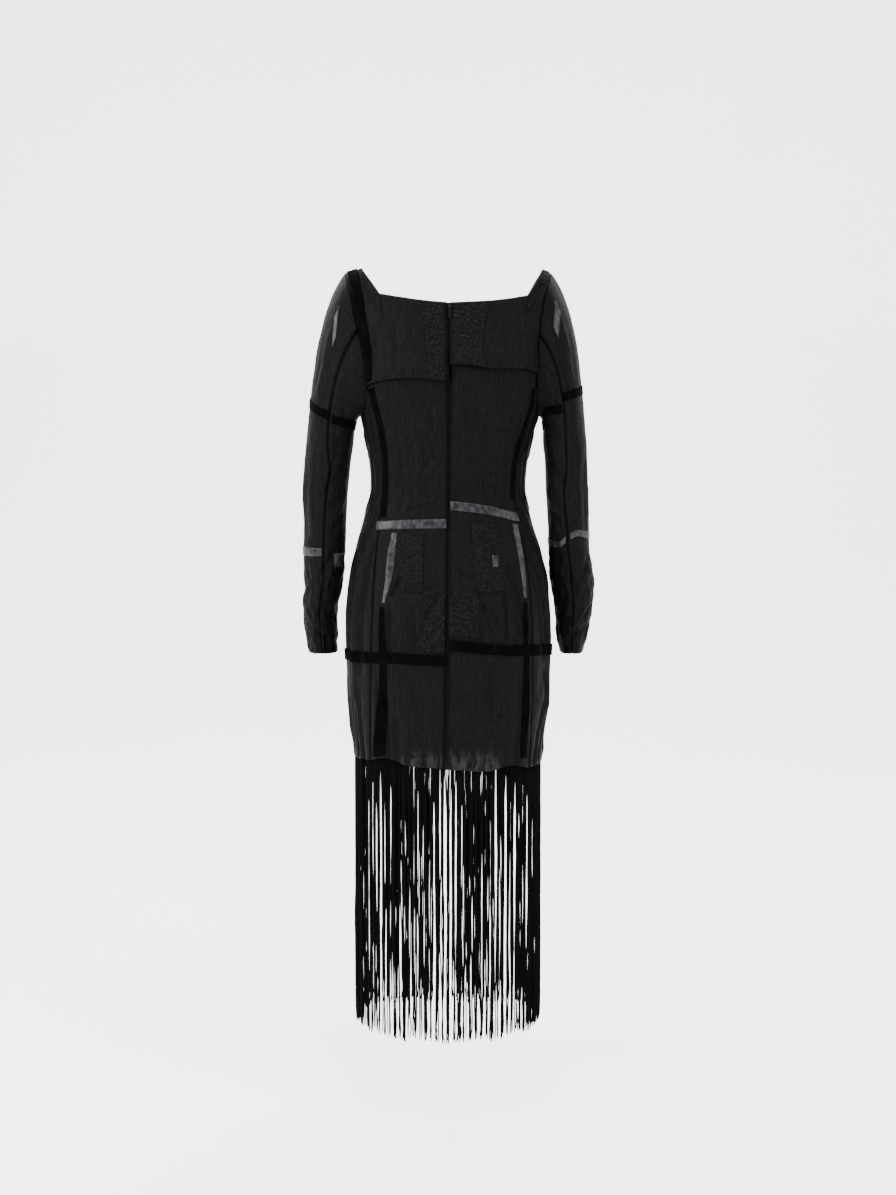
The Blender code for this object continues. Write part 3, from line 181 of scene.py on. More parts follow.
# The back is cut from matt crinkled crepe in three tiers: a yoke whose raw lower edge hangs free
# over the bodice, the bodice, and the skirt, each in two halves that meet at the centre back zip.
# A place on the body is an angle round it, from 0 at the centre back to half a turn in front.
SEAM_GAP = 0.0003
LAY_GAP = 0.0005
ARMHOLE_GAP = 0.0006
CLOTH_THICK = 0.0012
SQUARENESS = 2.4
SHOULDER_ROUND = 0.050
TORSO = (
    # height, left, right, back, front
    (-0.050, 0.1700, 0.1700, 0.085, 0.078),
    (-0.100, 0.1700, 0.1700, 0.093, 0.088),
    (-0.150, 0.1620, 0.1620, 0.098, 0.098),
    (-0.195, 0.1490, 0.1520, 0.096, 0.107),
    (-0.232, 0.1395, 0.1445, 0.092, 0.113),
    (-0.253, 0.1350, 0.1380, 0.090, 0.114),
    (-0.301, 0.1260, 0.1275, 0.085, 0.110),
    (-0.349, 0.1244, 0.1244, 0.080, 0.100),
    (-0.397, 0.1360, 0.1340, 0.084, 0.096),
    (-0.445, 0.1490, 0.1490, 0.096, 0.100),
    (-0.494, 0.1570, 0.1590, 0.110, 0.104),
    (-0.542, 0.1610, 0.1625, 0.119, 0.106),
    (-0.591, 0.1610, 0.1640, 0.121, 0.106),
    (-0.640, 0.1600, 0.1630, 0.118, 0.105),
    (-0.690, 0.1585, 0.1630, 0.113, 0.105),
    (-0.740, 0.1555, 0.1560, 0.109, 0.105),
    (-0.790, 0.1520, 0.1520, 0.106, 0.104),
)
SHOULDER_TOP = -SHOULDER_ROUND + SHOULDER_ROUND * math.pi / 2
SHOULDER_SLOPE_FROM = 0.135
SHOULDER_SLOPE = 9.0
FOLD_RADIUS = 0.15
FOLDS = (
    # top angle, top height, bottom angle, bottom height, height of fold, half-width
    (-52, -0.400, -59, -0.640, -0.0042, 0.0085),
    (-63, -0.430, -68, -0.700, 0.0034, 0.0090),
    (-75, -0.420, -76, -0.780, -0.0038, 0.0085),
    (-88, -0.460, -88, -0.760, 0.0030, 0.0100),
    (-61, -0.650, -60, -0.790, -0.0036, 0.0080),
    (-27, -0.680, -28, -0.790, -0.0030, 0.0075),
    (-17, -0.520, -13, -0.600, -0.0022, 0.0070),
    (55, -0.395, 66, -0.620, -0.0040, 0.0085),
    (33, -0.440, 41, -0.580, -0.0026, 0.0070),
    (73, -0.440, 76, -0.720, 0.0034, 0.0095),
    (86, -0.430, 84, -0.780, -0.0036, 0.0090),
    (70, -0.660, 62, -0.790, -0.0034, 0.0080),
    (20, -0.600, 21, -0.680, -0.0020, 0.0065),
    (-103, -0.430, -108, -0.760, -0.0032, 0.0095),
    (104, -0.430, 109, -0.760, -0.0032, 0.0095),
    (-148, -0.470, -152, -0.770, -0.0026, 0.0100),
    (143, -0.480, 148, -0.780, -0.0026, 0.0100),
)
CREASES = (
    # finer than the folds above: top angle and height, bottom angle and height, depth, half-width
    (-6, -0.190, -9, -0.262, -0.0011, 0.0040),
    (-9, -0.262, -5, -0.300, -0.0008, 0.0035),
    (-5, -0.282, -18, -0.330, -0.0009, 0.0040),
    (-4, -0.300, -13, -0.345, -0.0007, 0.0035),
    (-20, -0.372, -6, -0.366, -0.0010, 0.0030),
    (-27, -0.378, -18, -0.372, -0.0008, 0.0030),
    (-17, -0.240, -18, -0.390, 0.0007, 0.0060),
    (-32, -0.220, -31, -0.390, -0.0008, 0.0060),
    (-44, -0.215, -46, -0.360, 0.0008, 0.0060),
    (6, -0.170, 9, -0.255, -0.0008, 0.0045),
    (10, -0.230, 7, -0.320, 0.0006, 0.0050),
    (21, -0.200, 24, -0.360, -0.0008, 0.0060),
    (36, -0.190, 38, -0.370, 0.0008, 0.0065),
    (50, -0.210, 52, -0.350, -0.0009, 0.0050),
    (-12, -0.066, -14, -0.160, 0.0005, 0.0070),
    (-23, -0.070, -26, -0.168, -0.0007, 0.0060),
    (-36, -0.085, -40, -0.172, -0.0009, 0.0060),
    (27, -0.072, 30, -0.150, -0.0007, 0.0060),
    (38, -0.080, 44, -0.154, 0.0007, 0.0055),
    (48, -0.090, 55, -0.158, -0.0010, 0.0050),
    (-58, -0.208, -66, -0.300, -0.0014, 0.0055),
    (-70, -0.236, -72, -0.380, -0.0012, 0.0060),
    (-80, -0.248, -86, -0.300, 0.0012, 0.0060),
    (58, -0.196, 65, -0.290, -0.0014, 0.0055),
    (70, -0.236, 73, -0.380, -0.0012, 0.0060),
    (80, -0.248, 86, -0.300, 0.0012, 0.0060),
    (-50, -0.360, -62, -0.402, -0.0012, 0.0045),
    (-60, -0.352, -76, -0.398, -0.0012, 0.0045),
    (-72, -0.345, -88, -0.385, 0.0010, 0.0050),
    (52, -0.352, 64, -0.392, -0.0012, 0.0045),
    (60, -0.345, 77, -0.392, -0.0012, 0.0045),
    (72, -0.345, 88, -0.380, 0.0010, 0.0050),
    (-2, -0.500, -9, -0.548, -0.0020, 0.0040),
    (-9, -0.548, -14, -0.580, -0.0016, 0.0040),
    (-12, -0.500, -2, -0.492, -0.0014, 0.0035),
    (-22, -0.470, -30, -0.512, -0.0022, 0.0045),
    (-30, -0.512, -31, -0.610, -0.0022, 0.0050),
    (-36, -0.420, -33, -0.480, 0.0012, 0.0060),
    (2, -0.465, 13, -0.486, -0.0016, 0.0035),
    (13, -0.486, 17, -0.540, -0.0018, 0.0045),
    (6, -0.500, 14, -0.520, 0.0012, 0.0045),
    (24, -0.420, 27, -0.470, -0.0016, 0.0045),
    (30, -0.480, 30, -0.585, -0.0018, 0.0045),
    (37, -0.470, 44, -0.560, -0.0022, 0.0045),
    (46, -0.560, 50, -0.600, -0.0018, 0.0045),
    (-66, -0.410, -72, -0.600, -0.0026, 0.0055),
    (-82, -0.430, -82, -0.620, 0.0020, 0.0060),
    (-97, -0.430, -96, -0.640, -0.0022, 0.0065),
    (62, -0.420, 72, -0.600, -0.0026, 0.0055),
    (80, -0.430, 80, -0.620, 0.0018, 0.0060),
    (97, -0.430, 96, -0.640, -0.0022, 0.0065),
    (-35, -0.630, -33, -0.780, -0.0022, 0.0055),
    (-42, -0.640, -45, -0.775, 0.0018, 0.0060),
    (-10, -0.640, -11, -0.720, -0.0008, 0.0050),
    (-70, -0.640, -68, -0.780, -0.0026, 0.0060),
    (-84, -0.660, -82, -0.780, -0.0020, 0.0060),
    (-22, -0.768, -6, -0.755, -0.0014, 0.0030),
    (-8, -0.757, -3, -0.750, -0.0012, 0.0030),
    (4, -0.630, 3, -0.700, 0.0006, 0.0050),
    (18, -0.640, 19, -0.690, -0.0010, 0.0045),
    (28, -0.690, 22, -0.708, -0.0012, 0.0035),
    (40, -0.620, 41, -0.780, -0.0012, 0.0055),
    (48, -0.640, 47, -0.780, 0.0012, 0.0060),
    (66, -0.620, 74, -0.690, -0.0022, 0.0055),
    (78, -0.690, 70, -0.785, -0.0026, 0.0055),
    (88, -0.640, 86, -0.780, 0.0018, 0.0060),
    (8, -0.764, 8, -0.784, 0.0012, 0.0030),
    (14, -0.760, 14, -0.786, 0.0014, 0.0032),
    (21, -0.758, 21, -0.786, -0.0012, 0.0030),
    (27, -0.762, 27, -0.786, 0.0012, 0.0030),
    (-122, -0.200, -116, -0.270, -0.0014, 0.0060),
    (122, -0.200, 116, -0.270, -0.0014, 0.0060),
    (-134, -0.240, -140, -0.360, -0.0012, 0.0070),
    (134, -0.240, 140, -0.360, -0.0012, 0.0070),
    (-160, -0.330, -150, -0.380, -0.0012, 0.0055),
    (160, -0.330, 150, -0.380, -0.0012, 0.0055),
    (-172, -0.560, -160, -0.600, -0.0010, 0.0060),
    (172, -0.560, 160, -0.600, -0.0010, 0.0060),
    (-136, -0.420, -133, -0.600, -0.0020, 0.0070),
    (136, -0.430, 133, -0.610, -0.0020, 0.0070),
    (-165, -0.600, -166, -0.780, 0.0016, 0.0080),
    (168, -0.600, 167, -0.780, -0.0016, 0.0080),
)
CRINKLE = 0.00042
FOLD_DEPTH = 1.35
CREASE_DEPTH = 1.7
SEAM_DIP = 0.0011
SEAM_SOFT = 0.0030
PANEL_WIDE = 0.12
# Painted shade and highlight: the cloth's colour darkens along its seams and in hollows and lightens on
# ridges, by how hollow each place is.
SEAM_PAINTED_SHADE = 260.0
SEAM_PAINTED_SHADE_WIDE = 0.0015
HOLLOW_SOFTENING = 3
PAINTED_SHADE_AND_HIGHLIGHT = ((-100.0, 1.8), (0.0, 1.0), (100.0, 0.22))
CENTRE_BACK = (
    # height, place across
    (-0.050, 0.0024),
    (-0.300, 0.0016),
    (-0.450, 0.0000),
    (-0.600, -0.0024),
    (-0.790, -0.0060),
)
PRINCESS = (
    # height, left, right
    (-0.183, 0.1268, 0.1395),
    (-0.213, 0.1200, 0.1360),
    (-0.253, 0.1095, 0.1225),
    (-0.293, 0.1050, 0.1115),
    (-0.341, 0.1040, 0.1062),
    (-0.390, 0.1085, 0.1095),
    (-0.450, 0.1140, 0.1225),
    (-0.520, 0.1180, 0.1300),
    (-0.620, 0.1215, 0.1330),
    (-0.700, 0.1225, 0.1320),
    (-0.790, 0.1235, 0.1290),
)
ARMHOLE = (
    # share of the way from the shoulder to the underarm, left, right, height
    (0.00, 0.1630, 0.1640, 0.000),
    (0.11, 0.1570, 0.1580, -0.020),
    (0.22, 0.1510, 0.1510, -0.047),
    (0.35, 0.1440, 0.1445, -0.085),
    (0.47, 0.1350, 0.1410, -0.120),
    (0.58, 0.1295, 0.1400, -0.150),
    (0.68, 0.1268, 0.1395, -0.178),
    (0.78, 0.1275, 0.1395, -0.202),
    (0.88, 0.1320, 0.1410, -0.221),
    (0.95, 0.1365, 0.1430, -0.229),
    (1.00, 0.1395, 0.1445, -0.232),
)
SIDE_SHARE = 0.70
YOKE_EDGE = (
    # degrees, left height, right height
    (0, -0.1770, -0.1510),
    (10, -0.1726, -0.1527),
    (20, -0.1710, -0.1565),
    (40, -0.1756, -0.1565),
    (56, -0.1845, -0.1625),
    (72, -0.1900, -0.1690),
)
WAIST = (
    # degrees, left height, right height
    (0, -0.3970, -0.3690),
    (25, -0.3985, -0.3765),
    (50, -0.4015, -0.3875),
    (90, -0.4020, -0.3930),
    (130, -0.4000, -0.3970),
    (180, -0.3970, -0.3970),
)
HEM = (
    # degrees, left height, right height
    (0, -0.7810, -0.7830),
    (20, -0.7780, -0.7870),
    (36, -0.7680, -0.7790),
    (55, -0.7750, -0.7870),
    (90, -0.7760, -0.7840),
    (180, -0.7830, -0.7830),
)
BACK_NECK = (
    # share from the centre back to the armhole, left, right, left height, right height
    (0.00, 0.0000, 0.0000, -0.0560, -0.0560),
    (0.15, 0.0300, 0.0360, -0.0535, -0.0548),
    (0.30, 0.0580, 0.0660, -0.0500, -0.0530),
    (0.45, 0.0840, 0.0960, -0.0458, -0.0495),
    (0.60, 0.1068, 0.1240, -0.0418, -0.0445),
    (0.72, 0.1220, 0.1380, -0.0200, -0.0240),
    (0.84, 0.1370, 0.1500, 0.0000, 0.0000),
    (1.00, 0.1630, 0.1640, 0.0000, 0.0000),
)
YOKE_TUCK = 0.012
YOKE_LIFT = 0.0052
YOKE_LIFT_AT_ARMHOLE = 0.0032
YOKE_LIFT_OVER = 0.045


@lru_cache(maxsize=None)
def sizes_at(table, at, column):
    """A size of the body or the sleeve at a height, kept once it is worked out."""
    return value(TABLES[table], at, column)


def value(rows, at, column=1):
    """One column of a table at a place between its rows, on a smooth curve through them."""
    places = [row[0] for row in rows]
    if places[0] > places[-1]:
        rows = rows[::-1]
        places = places[::-1]
    if at <= places[0]:
        return rows[0][column]
    if at >= places[-1]:
        return rows[-1][column]
    k = max(i for i, place in enumerate(places) if place <= at)

    def slope(i):
        before = max(i - 1, 0)
        after = min(i + 1, len(rows) - 1)
        return (rows[after][column] - rows[before][column]) / (places[after] - places[before])

    span = places[k + 1] - places[k]
    u = (at - places[k]) / span
    start = (2 * u**3 - 3 * u**2 + 1) * rows[k][column] + (u**3 - 2 * u**2 + u) * span * slope(k)
    end = (3 * u**2 - 2 * u**3) * rows[k + 1][column] + (u**3 - u**2) * span * slope(k + 1)
    return start + end


def straight(rows, at, column=1):
    """One column of a table, on straight lines between its rows."""
    for low, high in zip(rows, rows[1:]):
        if at <= high[0]:
            share = (at - low[0]) / (high[0] - low[0])
            return low[column] + share * (high[column] - low[column])
    return rows[-1][column]


def ease(u):
    """0 below 0, 1 above 1 and a smooth step between."""
    u = min(max(u, 0.0), 1.0)
    return u * u * (3 - 2 * u)


def side_column(side):
    return 1 if side < 0 else 2


def height_of(z):
    if z <= -SHOULDER_ROUND:
        return z
    return -SHOULDER_ROUND + SHOULDER_ROUND * math.asin(min((z + SHOULDER_ROUND) / SHOULDER_ROUND, 1))


def rise_of(height):
    """How far round the shoulder a height lies, as an angle: 0 below it."""
    return max((height + SHOULDER_ROUND) / SHOULDER_ROUND, 0.0)


def lean_at(x, height):
    """Angle from the centre back or centre front to the point at x."""
    half = value(TORSO, height, side_column(x))
    return math.asin(min(abs(x) / half, 1.0) ** (SQUARENESS / 2))


def back_angle(x, height):
    return math.copysign(lean_at(x, height), x)


def front_angle(x, height):
    return math.pi - math.copysign(lean_at(x, height), x)


def near_folds(folds, angle, height, radius):
    """How far the folds move a place out, from its distance to each fold's line."""
    total = 0.0
    across_at = angle * radius
    for top_angle, top, bottom_angle, bottom, size, half in folds:
        if height > top + 3 * half or height < bottom - 3 * half:
            continue
        start = math.radians(top_angle) * radius
        run_across = math.radians(bottom_angle) * radius - start
        run_down = bottom - top
        length = run_across * run_across + run_down * run_down
        share = ((across_at - start) * run_across + (height - top) * run_down) / length
        aside_across = across_at - start - run_across * share
        aside_down = height - top - run_down * share
        aside = (aside_across * aside_across + aside_down * aside_down) / (half * half)
        if aside > 9:
            continue
        ends = ease(share / 0.3) * ease((1 - share) / 0.15 + 0.2)
        total += size * ends * math.exp(-aside)
    return total


def torso_form(angle, height):
    """The figure under the cloth, without folds."""
    rise = rise_of(height)
    half = sizes_at("body", height, 1 if math.sin(angle) < 0 else 2)
    depth = sizes_at("body", height, 3 if math.cos(angle) > 0 else 4) * math.cos(min(rise, math.pi / 2))
    power = 2 / SQUARENESS
    x = math.copysign(half * abs(math.sin(angle)) ** power, math.sin(angle))
    y = -math.copysign(depth * abs(math.cos(angle)) ** power, math.cos(angle))
    z = height
    if rise > 0:
        z = -SHOULDER_ROUND + SHOULDER_ROUND * math.sin(rise)
        slope = max(abs(x) - SHOULDER_SLOPE_FROM, 0.0)
        z -= SHOULDER_SLOPE * slope**2 * math.sin(rise)
    return Vector((x, y, z))


def torso_point(angle, height, out):
    """A point on the dress, a distance out from its outer face, with its folds and creases."""
    step = 1e-3
    here = torso_form(angle, height)
    along = torso_form(angle + step, height) - here
    normal = along.cross(here - torso_form(angle, height - step)).normalized()
    turn = math.remainder(angle, 2 * math.pi)
    out += FOLD_DEPTH * near_folds(FOLDS, turn, height, FOLD_RADIUS)
    out += CREASE_DEPTH * near_folds(CREASES, turn, height, FOLD_RADIUS)
    out += CRINKLE * noise.noise(Vector((turn * FOLD_RADIUS * 190, height * 16, 0.0)))
    out += CRINKLE * 2 * noise.noise(Vector((turn * FOLD_RADIUS * 42, height * 30, 4.0)))
    return here + normal * out


TABLES = {"body": TORSO}


def meeting(x_at, angle_of, height_at):
    """The height at which an upright seam meets an edge that runs round the dress."""
    height = height_at(0.0)
    for _ in range(8):
        height = height_at(angle_of(x_at(height), height))
    return height


def upright(x_at, angle_of, low, high):
    """An upright edge of a panel between two heights: its place a share of the way up."""

    def place(share):
        height = low + share * (high - low)
        return Vector((angle_of(x_at(height), height), height))

    return place


def level(start, end, height_at):
    """An edge that runs round the dress between two angles."""

    def place(share):
        angle = start + share * (end - start)
        return Vector((angle, height_at(angle)))

    return place


def patch(near, far, low, high):
    """Places all over a panel, from its four edges."""
    near, far, low, high = (lru_cache(maxsize=None)(edge) for edge in (near, far, low, high))

    def place(s, t):
        across = low(s) * (1 - t) + high(s) * t
        up = near(t) * (1 - s) + far(t) * s
        corners = (low(0) * (1 - t) + high(0) * t) * (1 - s) + (low(1) * (1 - t) + high(1) * t) * s
        return across + up - corners

    return place


def edge_at(rows, side, raise_by=0.0):
    """An edge round one half of the dress: its height at an angle."""

    def height_at(angle):
        return value(rows, abs(math.degrees(angle)), side_column(side)) + raise_by

    return height_at


def armhole_x(height, side):
    """How far out the armhole lies, above its lower corner."""
    rows = [(height_of(row[3]), row[1], row[2]) for row in ARMHOLE if row[0] <= SIDE_SHARE + 0.1]
    return value(rows, height, side_column(side))


@lru_cache(maxsize=None)
def armhole_place(side, share):
    """A place on the armhole: 0 at the shoulder, 1 at the underarm, 2 at the shoulder in front."""
    rows = [(row[0], row[1], row[2], height_of(row[3])) for row in ARMHOLE]
    within = share if share <= 1 else 2 - share
    height = value(rows, within, 3)
    lean = lean_at(side * value(rows, within, side_column(side)), height)
    return Vector((side * (lean if share <= 1 else math.pi - lean), height))


def centre_back(height):
    return value(CENTRE_BACK, height)


def centre_edge(side):
    return lambda height: centre_back(height) + side * SEAM_GAP / 2


def princess_edge(side, gap_side):
    """The princess seam, and above it the armhole, as one line; gap_side is 1 on its outer side."""
    corner = armhole_place(side, SIDE_SHARE)[1]

    def x_at(height):
        if height > corner:
            return side * (armhole_x(height, side) - ARMHOLE_GAP / 2)
        return side * (value(PRINCESS, height, side_column(side)) + gap_side * SEAM_GAP / 2)

    return x_at


def yoke_lift(side, place):
    """The raw edge of the yoke stands off the bodice, less where the armhole seam holds it."""
    edge = edge_at(YOKE_EDGE, side)

    def lift(s, t):
        angle, height = place(s, t)
        size = YOKE_LIFT + (YOKE_LIFT_AT_ARMHOLE - YOKE_LIFT) * ease((s - 0.6) / 0.35)
        return size * (1 - ease((height - edge(angle)) / YOKE_LIFT_OVER))

    return lift


def yoke_place(side):
    near_x = centre_edge(side)

    def far_x(height):
        return side * (armhole_x(height, side) - ARMHOLE_GAP / 2)

    edge = edge_at(YOKE_EDGE, side)
    top = SHOULDER_TOP - SEAM_GAP / 2
    column = side_column(side)

    def neck(share):
        height = min(height_of(straight(BACK_NECK, share, column + 2)), top)
        x = side * straight(BACK_NECK, share, column)
        x = near_x(height) if share == 0 else x
        return Vector((back_angle(x, height), height))

    low_near = meeting(near_x, back_angle, edge)
    low_far = meeting(far_x, back_angle, edge)
    near = upright(near_x, back_angle, low_near, neck(0)[1])
    far = upright(far_x, back_angle, low_far, top)
    return patch(near, far, level(near(0)[0], far(0)[0], edge), neck)


def back_bodice_place(side):
    near_x = centre_edge(side)
    far_x = princess_edge(side, -1)
    low_at = edge_at(WAIST, side, SEAM_GAP / 2)
    high_at = edge_at(YOKE_EDGE, side, YOKE_TUCK)
    near_ends = [meeting(near_x, back_angle, height_at) for height_at in (low_at, high_at)]
    near = upright(near_x, back_angle, *near_ends)
    far = upright(far_x, back_angle, meeting(far_x, back_angle, low_at), meeting(far_x, back_angle, high_at))
    return patch(near, far, level(near(0)[0], far(0)[0], low_at), level(near(1)[0], far(1)[0], high_at))


def back_skirt_place(side):
    near_x = centre_edge(side)
    far_x = princess_edge(side, -1)
    low_at = edge_at(HEM, side)
    high_at = edge_at(WAIST, side, -SEAM_GAP / 2)
    near_ends = [meeting(near_x, back_angle, height_at) for height_at in (low_at, high_at)]
    near = upright(near_x, back_angle, *near_ends)
    far = upright(far_x, back_angle, meeting(far_x, back_angle, low_at), meeting(far_x, back_angle, high_at))
    return patch(near, far, level(near(0)[0], far(0)[0], low_at), level(near(1)[0], far(1)[0], high_at))


def on_torso(place, lift=None, wide=PANEL_WIDE, seams=(True, True)):
    """The points of a panel from its places; it dips into the seams at its sides."""

    def point(s, t, out):
        angle, height = place(s, t)
        dip = 0.0
        if seams[0]:
            dip += math.exp(-((s * wide / SEAM_SOFT) ** 2))
        if seams[1]:
            dip += math.exp(-(((1 - s) * wide / SEAM_SOFT) ** 2))
        return torso_point(angle, height, out - SEAM_DIP * dip + (lift(s, t) if lift else 0.0))

    return point


def spot(place, first, second):
    """The shares across and up a panel at a place on it."""
    s, t, step = 0.5, 0.5, 1e-4
    for _ in range(14):
        here = place(s, t)
        across = (place(s + step, t)[0] - here[0]) / step
        up = (place(s, t + step)[1] - here[1]) / step
        s += (first - here[0]) / across
        t += (second - here[1]) / up
        s, t = min(max(s, -0.05), 1.05), min(max(t, -0.05), 1.05)
    return s, t


def mark_painted_shade(mesh, aside):
    """Store how hollow the cloth is at each vertex, and deepen the mark along sewn sides: the mark sets where
    shade is painted in hollows and seams and where a highlight is painted on ridges.
    """
    mark = mesh.verts.layers.float.new("hollow")
    for vertex in mesh.verts:
        beside = [edge.other_vert(vertex).co for edge in vertex.link_edges]
        apart = sum((co - vertex.co).length for co in beside) / len(beside)
        vertex[mark] = (sum(beside, Vector()) / len(beside) - vertex.co).dot(vertex.normal) / apart**2
    for _ in range(HOLLOW_SOFTENING):
        softer = [
            (vertex[mark] + sum(edge.other_vert(vertex)[mark] for edge in vertex.link_edges))
            / (1 + len(vertex.link_edges))
            for vertex in mesh.verts
        ]
        for vertex, hollow in zip(mesh.verts, softer):
            vertex[mark] = hollow
    for vertex, gap in zip(mesh.verts, aside):
        vertex[mark] += SEAM_PAINTED_SHADE * math.exp(-((gap / SEAM_PAINTED_SHADE_WIDE) ** 2))


def shell(name, finish, point, columns, rows, body="dress", thick=CLOTH_THICK, out=0.0, sewn=0.0):
    """A sheet of cloth: a fine grid set in place by point(s, t, out), with a wall behind it.

    sewn is the width of a panel whose sides are seams, or 0 for a ribbon or patch.
    """
    mesh = bmesh.new()
    bmesh.ops.create_grid(mesh, x_segments=columns, y_segments=rows, size=0.5)
    aside = []
    for vertex in mesh.verts:
        share = vertex.co.x + 0.5
        aside.append(min(share, 1 - share) * sewn if sewn else 1.0)
        vertex.co = point(share, vertex.co.y + 0.5, out)
    mesh.normal_update()
    middle = point(0.5, 0.5, out)
    beyond = point(0.5, 0.5, out + 0.001) - middle
    middle_face = min(mesh.faces, key=lambda face: (face.calc_center_median() - middle).length_squared)
    if middle_face.normal.dot(beyond) < 0:
        bmesh.ops.reverse_faces(mesh, faces=mesh.faces[:])
        mesh.normal_update()
    # Mark where shade is painted in hollows and along the sewn sides, and where a highlight is painted on
    # ridges.
    mark_painted_shade(mesh, aside)
    data = bpy.data.meshes.new(name)
    mesh.to_mesh(data)
    mesh.free()
    data.materials.append(finish)
    data.shade_smooth()
    piece = bpy.data.objects.new(name, data)
    bpy.context.scene.collection.objects.link(piece)
    wall = piece.modifiers.new("wall", "SOLIDIFY")
    wall.thickness = thick
    wall.offset = -1.0
    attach(piece, body)
    return piece


def run_between(tree, value_in, between, gives):
    """A value that runs evenly from one of the two given to the other, between two values."""
    inputs = {"Value": value_in, "From Min": between[0], "From Max": between[1]}
    inputs.update({"To Min": gives[0], "To Max": gives[1]})
    return add_node(tree, "ShaderNodeMapRange", inputs).outputs[0]


def paint_shade_and_highlight(tree, cloth):
    """Painted shade and highlight: darken a colour in the hollows of the cloth and along its seams, and lift
    it on the ridges.
    """
    mark = add_node(tree, "ShaderNodeAttribute", attribute_name="hollow").outputs["Fac"]
    (ridge, lighter), (flat, plain), (hollow, darker) = PAINTED_SHADE_AND_HIGHLIGHT
    up = run_between(tree, mark, (ridge, flat), (lighter, plain))
    down = run_between(tree, mark, (flat, hollow), (plain, darker))
    share = add_node(tree, "ShaderNodeMath", {0: up, 1: down}, operation="MULTIPLY")
    shaded = add_node(tree, "ShaderNodeVectorMath", {0: cloth, "Scale": share.outputs[0]}, operation="SCALE")
    return shaded.outputs["Vector"]


# Painted light: paler blotches low on the back skirt stand for light from the front shining through the thin
# crepe near the hem.
HEM_PAINTED_LIGHT_AT = 0.004
HEM_PAINTED_LIGHT_WIDE = (0.084, 0.066)
HEM_PAINTED_LIGHT_HIGH = (-0.748, -0.772)
HEM_PAINTED_LIGHT_SHARE = 0.55


def add_crepe(name, coarse):
    """Black crepe: fine upright crinkles and a crumpled hand. Painted into its colour: a soft bloom of
    lighter streaks on the crinkles, pale light through the back skirt near the hem, shade in hollows and
    seams, and a highlight on ridges.
    """
    material, tree, shader = new_finish(name, 0.55, specular=0.030)
    crinkle = grain(tree, 520.0, (1.0, 1.0, 0.10), detail=4.0)
    crumple = grain(tree, 60.0, (1.0, 1.0, 0.45), detail=4.0)
    weave = grain(tree, 2400.0, detail=1.0)
    # Painted light and shade: the colour is lighter on the crinkles' ridges and darker in their furrows, on
    # the same pattern as their relief.
    cloth = shades(tree, crinkle, (0.0013, 0.0013, 0.0015), (0.0034, 0.0034, 0.0039), 0.34, 0.68)
    place = add_node(tree, "ShaderNodeTexCoord").outputs["Object"]
    split = add_node(tree, "ShaderNodeSeparateXYZ", {"Vector": place})
    # Painted light through the cloth: a pale blotchy patch low on the back skirt, across the middle of the
    # back.
    low = run_between(tree, split.outputs["Z"], HEM_PAINTED_LIGHT_HIGH, (0.0, 1.0))
    middle = add_node(tree, "ShaderNodeMath", {0: split.outputs["X"], 1: HEM_PAINTED_LIGHT_AT}, operation="SUBTRACT")
    apart = add_node(tree, "ShaderNodeMath", {0: middle.outputs[0]}, operation="ABSOLUTE")
    near = run_between(tree, apart.outputs[0], HEM_PAINTED_LIGHT_WIDE, (0.0, 1.0))
    behind = add_node(tree, "ShaderNodeMath", {0: split.outputs["Y"], 1: 0.0}, operation="LESS_THAN")
    lumps = shades(tree, grain(tree, 95.0, (1.0, 1.0, 0.35), detail=2.0), (0, 0, 0), (1, 1, 1), 0.44, 0.62)
    share = low
    for factor in (near, behind.outputs[0], lumps, HEM_PAINTED_LIGHT_SHARE):
        share = add_node(tree, "ShaderNodeMath", {0: share, 1: factor}, operation="MULTIPLY").outputs[0]
    mixed = {"Factor": share, "A": cloth, "B": (0.024, 0.024, 0.026, 1.0)}
    with_hem_light = add_node(tree, "ShaderNodeMix", mixed, data_type="RGBA")
    # The colour gets painted shade in hollows and seams and a painted highlight on ridges.
    tree.links.new(paint_shade_and_highlight(tree, with_hem_light.outputs["Result"]), shader.inputs["Base Color"])
    relief(
        tree,
        shader,
        ((crumple, 0.0030 * coarse, 0.75), (crinkle, 0.0011 * coarse, 0.95), (weave, 0.00014, 0.6)),
    )
    return material


crepe = add_crepe("crepe", 1.0)
panels = {}
for side, word in ((-1, "left"), (1, "right")):
    place = yoke_place(side)
    point = on_torso(place, yoke_lift(side, place), seams=(True, False))
    panels["yoke", side] = (place, point)
    piece = shell(f"back_yoke_cloth_{word}", crepe, point, 84, 84, sewn=PANEL_WIDE)
    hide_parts(f"back_yoke_{word}")
    tiers = (("bodice", back_bodice_place, 72, 96), ("skirt", back_skirt_place, 84, 150))
    for tier, make_place, columns, rows in tiers:
        place = make_place(side)
        point = on_torso(place)
        panels[tier, side] = (place, point)
        piece = shell(f"back_{tier}_cloth_{word}", crepe, point, columns, rows, sewn=PANEL_WIDE)
        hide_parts(f"back_{tier}_{word}")

# The closed zip's tape lies behind the centre back seam, from the notch to the hem.
TURNING_THICK = 0.0006
BEHIND_SEAM = -CLOTH_THICK - SEAM_DIP - 0.0004
ZIP_TAPE_WIDE = 0.014
zip_low = panels["skirt", 1][0](0, 0)[1] + 0.001
zip_high = panels["yoke", 1][0](0, 1)[1] - 0.012


def zip_tape(s, t, out):
    height = zip_low + t * (zip_high - zip_low)
    return torso_point(back_angle(centre_back(height) + (s - 0.5) * ZIP_TAPE_WIDE, height), height, out)


piece = shell("zip_tape", crepe, zip_tape, 4, 120, thick=TURNING_THICK, out=BEHIND_SEAM)

